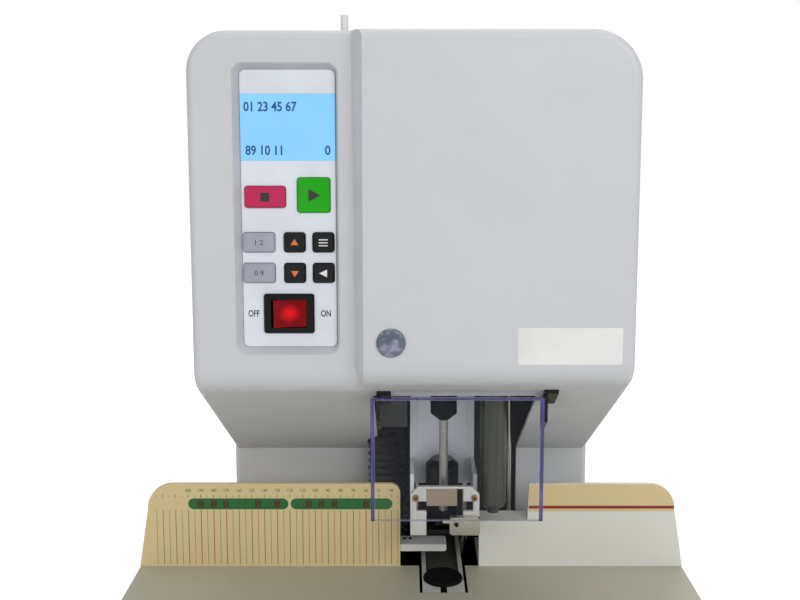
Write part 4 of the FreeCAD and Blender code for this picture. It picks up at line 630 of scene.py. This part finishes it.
# Cream band and stripe along the top of the right fence, whose corner the band follows
NOTCH = 92.5
BAND_OUTLINE = (
    (NOTCH, 160.2), (207.5, 160.2), (207.2, 162.0), (207.1, 164.7), (206.6, 167.9),
    (205.5, 171.0), (203.9, 173.9), (201.8, 176.5), (199.4, 178.8), (196.6, 180.5),
    (193.6, 181.7), (190.3, 182.4), (NOTCH, 182.4),
)
right_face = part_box("fence_right")[0].y - INK
band = Print(right_face)
band.shape([(x * MM, z * MM) for x, z in BAND_OUTLINE])
band.make("fence_band", FENCE_PRINT, "machine")
stripe = Print(right_face - INK)
stripe.bar(NOTCH * MM, 207.1 * MM, 162.6 * MM, 165.0 * MM)
stripe.make("fence_stripe", PRINT_STRIPE, "machine")

# Words beside the power switch
SWITCH_MIDDLE = 337.0 * MM
WORD_HEIGHT = 4.4 * MM
words = Print(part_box("panel_plate")[0].y - INK)
for word, x in (("OFF", -107.6 * MM), ("ON", -58.6 * MM)):
    words.text(word, x, SWITCH_MIDDLE, WORD_HEIGHT, 0.72, bold=0.03)
words.make("switch_words", PRINT_BLACK, "machine")

# Figures on the display
FIGURE_HEIGHT = 6.2 * MM
lcd_low, lcd_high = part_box("lcd_module")
upper_row = lcd_high.z - 9.0 * MM
lower_row = lcd_low.z + 6.6 * MM
digits = Print(lcd_low.y - INK)
for figures, x, z, narrow, align in (
        ("01 23 45 67", lcd_low.x + 2.4 * MM, upper_row, 0.84, "LEFT"),
        ("89 10 11", lcd_low.x + 3.2 * MM, lower_row, 0.84, "LEFT"),
        ("0", lcd_high.x - 5 * MM, lower_row, 0.9, "CENTER")):
    digits.text(figures, x, z, FIGURE_HEIGHT, narrow, align, 0.035)
digits.make("display_digits", PRINT_BLUE, "machine")

# Signs on the keys, as outlines in millimetres from each key's middle
MENU_ROWS = (-2, 0, 2)
MENU_HALF = 0.35
KEY_SIGNS = {
    "key_up": (PRINT_ORANGE, [[(-2.6, -1.6), (2.6, -1.6), (0, 2.6)]]),
    "key_down": (PRINT_ORANGE, [[(-2.6, 1.6), (0, -2.6), (2.6, 1.6)]]),
    "key_start": (PRINT_BLACK, [[(-3.4, -4.4), (4.6, 0), (-3.4, 4.4)]]),
    "key_stop": (PRINT_BLACK, [[(-3, -3), (3, -3), (3, 3), (-3, 3)]]),
    "key_menu": (PRINT_WHITE, [[(-3, row - MENU_HALF), (3, row - MENU_HALF),
                                (3, row + MENU_HALF), (-3, row + MENU_HALF)]
                               for row in MENU_ROWS]),
    "key_exit": (PRINT_WHITE, [[(-3, 0), (2.4, -2.6), (2.4, 2.6)]]),
}
KEY_FIGURES = {"key_mode": "1 2", "key_count": "0 9"}
KEY_FIGURE_HEIGHT = 3.6 * MM


def key_front(node):
    """Ink on a key's front, and the place of the key's middle."""
    low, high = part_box(node)
    return Print(low.y - INK), (low.x + high.x) / 2, (low.z + high.z) / 2


for node, (surface, outlines) in KEY_SIGNS.items():
    ink, x, z = key_front(node)
    for outline in outlines:
        ink.shape([(x + right * MM, z + up * MM) for right, up in outline])
    ink.make(node + "_mark", surface, node + "_body")
for node, figures in KEY_FIGURES.items():
    ink, x, z = key_front(node)
    ink.text(figures, x, z, KEY_FIGURE_HEIGHT)
    ink.make(node + "_mark", PRINT_BLACK, node + "_body")

# Sockets in the presser's bolts
SOCKET_HALF = 1.1 * MM
bolt_low, bolt_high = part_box("presser_bolts")
bolt_radius = (bolt_high.z - bolt_low.z) / 2
bolt_middle = bolt_low.z + bolt_radius
sockets = Print(bolt_low.y - INK)
for x in (bolt_low.x + bolt_radius, bolt_high.x - bolt_radius):
    sockets.stadium(x - SOCKET_HALF, x + SOCKET_HALF,
                    bolt_middle - SOCKET_HALF, bolt_middle + SOCKET_HALF)
sockets.make("bolt_sockets", PRINT_BLACK, "presser")


# Small screws on the left fence's ledge

SCREW_PROFILE = ((1.0, 0.0), (1.0, 0.45), (0.86, 0.75), (0.55, 0.95))
SCREW_SIDES = 20
SCREW_RADIUS = 1.3 * MM
SCREW_HEIGHT = 0.9 * MM
SCREW_SUNK = 0.02 * MM
SCREW_BACK = 3 * MM
SCREW_PLACES = (-5.2 * MM, -0.6 * MM)


def screw_head(name, x, y, z):
    """A low domed screw head."""
    mesh = bmesh.new()
    turns = [math.tau * n / SCREW_SIDES for n in range(SCREW_SIDES)]
    loops = []
    for width, height in SCREW_PROFILE:
        radius = SCREW_RADIUS * width
        loops.append([mesh.verts.new((x + radius * math.cos(turn), y + radius * math.sin(turn),
                                      z + SCREW_HEIGHT * height)) for turn in turns])
    for under, over in zip(loops, loops[1:]):
        for n in range(SCREW_SIDES):
            after = (n + 1) % SCREW_SIDES
            mesh.faces.new((under[n], under[after], over[after], over[n]))
    mesh.faces.new(loops[-1])
    mesh.faces.new(loops[0][::-1])
    data = bpy.data.meshes.new(name)
    mesh.to_mesh(data)
    mesh.free()
    for face in data.polygons:
        face.use_smooth = True
    piece(name, BLACK_GLOSS, "machine", mesh=data)


ledge = [v.co for v in nodes["fence_left"].data.vertices if v.co.x > LEDGE_START]
ledge_top = max(co.z for co in ledge)
ledge_middle = (max(co.y for co in ledge) + min(co.y for co in ledge)) / 2
for number, x in enumerate(SCREW_PLACES):
    screw_head("ledge_screw_%d" % number, x, ledge_middle + SCREW_BACK, ledge_top - SCREW_SUNK)


# Bare label and tray bead on the front cover

def corner_turns(left, right, low, high, radius, steps):
    """A rounded rectangle's corner centres, each with the directions round its corner."""
    for x, z, start in ((right - radius, low + radius, -90), (right - radius, high - radius, 0),
                        (left + radius, high - radius, 90), (left + radius, low + radius, 180)):
        for step in range(steps + 1):
            turn = math.radians(start + 90 * step / steps)
            yield x, z, math.cos(turn), math.sin(turn)


LABEL_SIDES = (70.7 * MM, 140.5 * MM)
LABEL_HEIGHTS = (306 * MM, 331 * MM)
LABEL_CORNER = 1.2 * MM
label_near = cover_front - 0.12 * MM
label_far = cover_front + 0.2 * MM
outline = [(x + LABEL_CORNER * out_x, z + LABEL_CORNER * out_z)
           for x, z, out_x, out_z in corner_turns(*LABEL_SIDES, *LABEL_HEIGHTS, LABEL_CORNER, 4)]
count = len(outline)
label_faces = [list(range(count)), list(range(2 * count - 1, count - 1, -1))]
label_faces += [[(n + 1) % count, n, n + count, (n + 1) % count + count] for n in range(count)]
piece("blank_label", PRINT_WHITE, "machine",
      [(x, y, z) for y in (label_near, label_far) for x, z in outline], label_faces)

# The bead is half round and lies over the play between the tray and the cover
BEAD_HALF = 0.6 * MM
BEAD_RISE = 0.65 * MM
BEAD_CORNER = 8.15 * MM
BEAD_OUT = 0.15 * MM
BEAD_SECTION = 6
RING = BEAD_SECTION + 1

tray_low, tray_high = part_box("control_panel")
bead_path = list(corner_turns(tray_low.x - BEAD_OUT, tray_high.x + BEAD_OUT,
                              tray_low.z - BEAD_OUT, tray_high.z + BEAD_OUT, BEAD_CORNER, 10))
bead_points = []
bead_faces = []
for number, (x, z, out_x, out_z) in enumerate(bead_path):
    here = number * RING
    following = (number + 1) % len(bead_path) * RING
    for step in range(RING):
        turn = math.pi * step / BEAD_SECTION
        reach = BEAD_CORNER + BEAD_HALF * math.cos(turn)
        bead_points.append((x + out_x * reach, tray_low.y - BEAD_RISE * math.sin(turn),
                            z + out_z * reach))
        above = (step + 1) % RING
        bead_faces.append([here + step, following + step, following + above, here + above])
bead = piece("tray_bead", BODY_PAINT, "machine", bead_points, bead_faces)
for face in bead.data.polygons:
    face.use_smooth = True


# Floor, light and camera

FLOOR_LOW = (-30, -8)
FLOOR_HIGH = (30, 40)
FLOOR_GLOW = 0.62
WORLD_LIGHT = 0.5


def floor_material(name, colour, glow):
    """A surface that shows pale to the camera and keeps the object's shadow."""
    material = bpy.data.materials.new(name)
    material.use_nodes = True
    tree = material.node_tree
    shader = tree.nodes["Principled BSDF"]
    shader.inputs["Base Color"].default_value = colour
    shader.inputs["Roughness"].default_value = 0.9
    shader.inputs["Specular IOR Level"].default_value = 0.1
    path = tree.nodes.new("ShaderNodeLightPath")
    emission = tree.nodes.new("ShaderNodeEmission")
    emission.inputs["Strength"].default_value = glow
    added = tree.nodes.new("ShaderNodeAddShader")
    mixed = tree.nodes.new("ShaderNodeMixShader")
    tree.links.new(shader.outputs[0], added.inputs[0])
    tree.links.new(emission.outputs[0], added.inputs[1])
    tree.links.new(path.outputs["Is Camera Ray"], mixed.inputs["Fac"])
    tree.links.new(shader.outputs[0], mixed.inputs[1])
    tree.links.new(added.outputs[0], mixed.inputs[2])
    tree.links.new(mixed.outputs[0], tree.nodes["Material Output"].inputs["Surface"])
    return material


floor_mesh = bpy.data.meshes.new("floor")
floor_mesh.from_pydata([(FLOOR_LOW[0], FLOOR_LOW[1], 0), (FLOOR_HIGH[0], FLOOR_LOW[1], 0),
                        (FLOOR_HIGH[0], FLOOR_HIGH[1], 0), (FLOOR_LOW[0], FLOOR_HIGH[1], 0)],
                       [], [(0, 1, 2, 3)])
floor_mesh.materials.append(floor_material("floor_pale", (0.80, 0.80, 0.80, 1), FLOOR_GLOW))
floor = bpy.data.objects.new("floor", floor_mesh)
bpy.context.scene.collection.objects.link(floor)

# The world lights the object softly, and is white where it is seen
world = bpy.data.worlds.new("studio")
bpy.context.scene.world = world
world.use_nodes = True
tree = world.node_tree
tree.nodes.clear()
path = tree.nodes.new("ShaderNodeLightPath")
seen = tree.nodes.new("ShaderNodeMath")
seen.operation = "MAXIMUM"
light = tree.nodes.new("ShaderNodeBackground")
light.inputs["Color"].default_value = (1, 1, 1, 1)
light.inputs["Strength"].default_value = WORLD_LIGHT
white = tree.nodes.new("ShaderNodeBackground")
white.inputs["Color"].default_value = (1, 1, 1, 1)
white.inputs["Strength"].default_value = 1.0
mixed = tree.nodes.new("ShaderNodeMixShader")
output = tree.nodes.new("ShaderNodeOutputWorld")
tree.links.new(path.outputs["Is Camera Ray"], seen.inputs[0])
tree.links.new(path.outputs["Is Transmission Ray"], seen.inputs[1])
tree.links.new(seen.outputs[0], mixed.inputs["Fac"])
tree.links.new(light.outputs[0], mixed.inputs[1])
tree.links.new(white.outputs[0], mixed.inputs[2])
tree.links.new(mixed.outputs[0], output.inputs["Surface"])

# Each lamp's name, place, target, size and watts
LAMPS = (
    ("key", (0.9, -1.7, 1.2), (0, 0, 0.25), (1.5, 1.0), 15),
    ("fill", (-1.3, -1.6, 1.1), (0, 0, 0.25), (1.4, 1.0), 6),
    ("top", (0.2, 0.3, 2.2), (0, 0, 0.3), (1.8, 1.4), 10),
    ("back", (0.3, 1.9, 1.2), (0, 0, 0.3), (1.6, 1.2), 8),
)
for name, place, target, size, watts in LAMPS:
    lamp = bpy.data.lights.new(name, "AREA")
    lamp.shape = "RECTANGLE"
    lamp.size, lamp.size_y = size
    lamp.energy = watts
    softbox = bpy.data.objects.new(name, lamp)
    softbox.location = place
    towards = Vector(target) - Vector(place)
    softbox.rotation_euler = towards.to_track_quat("-Z", "Y").to_euler()
    bpy.context.scene.collection.objects.link(softbox)

# The photograph's view
CAMERA_PLACE = (-0.0043, -0.800, 0.478)
CAMERA_TILT = 7
camera_data = bpy.data.cameras.new("camera")
camera_data.lens = 45.0
camera_data.sensor_width = 36.0
camera_data.shift_x = -0.0071
camera_data.shift_y = -0.09
camera_data.clip_start = 0.01
camera = bpy.data.objects.new("camera", camera_data)
camera.location = CAMERA_PLACE
camera.rotation_euler = (math.radians(90 - CAMERA_TILT), 0, 0)
bpy.context.scene.collection.objects.link(camera)
bpy.context.scene.camera = camera
bpy.context.scene.view_settings.view_transform = "Standard"
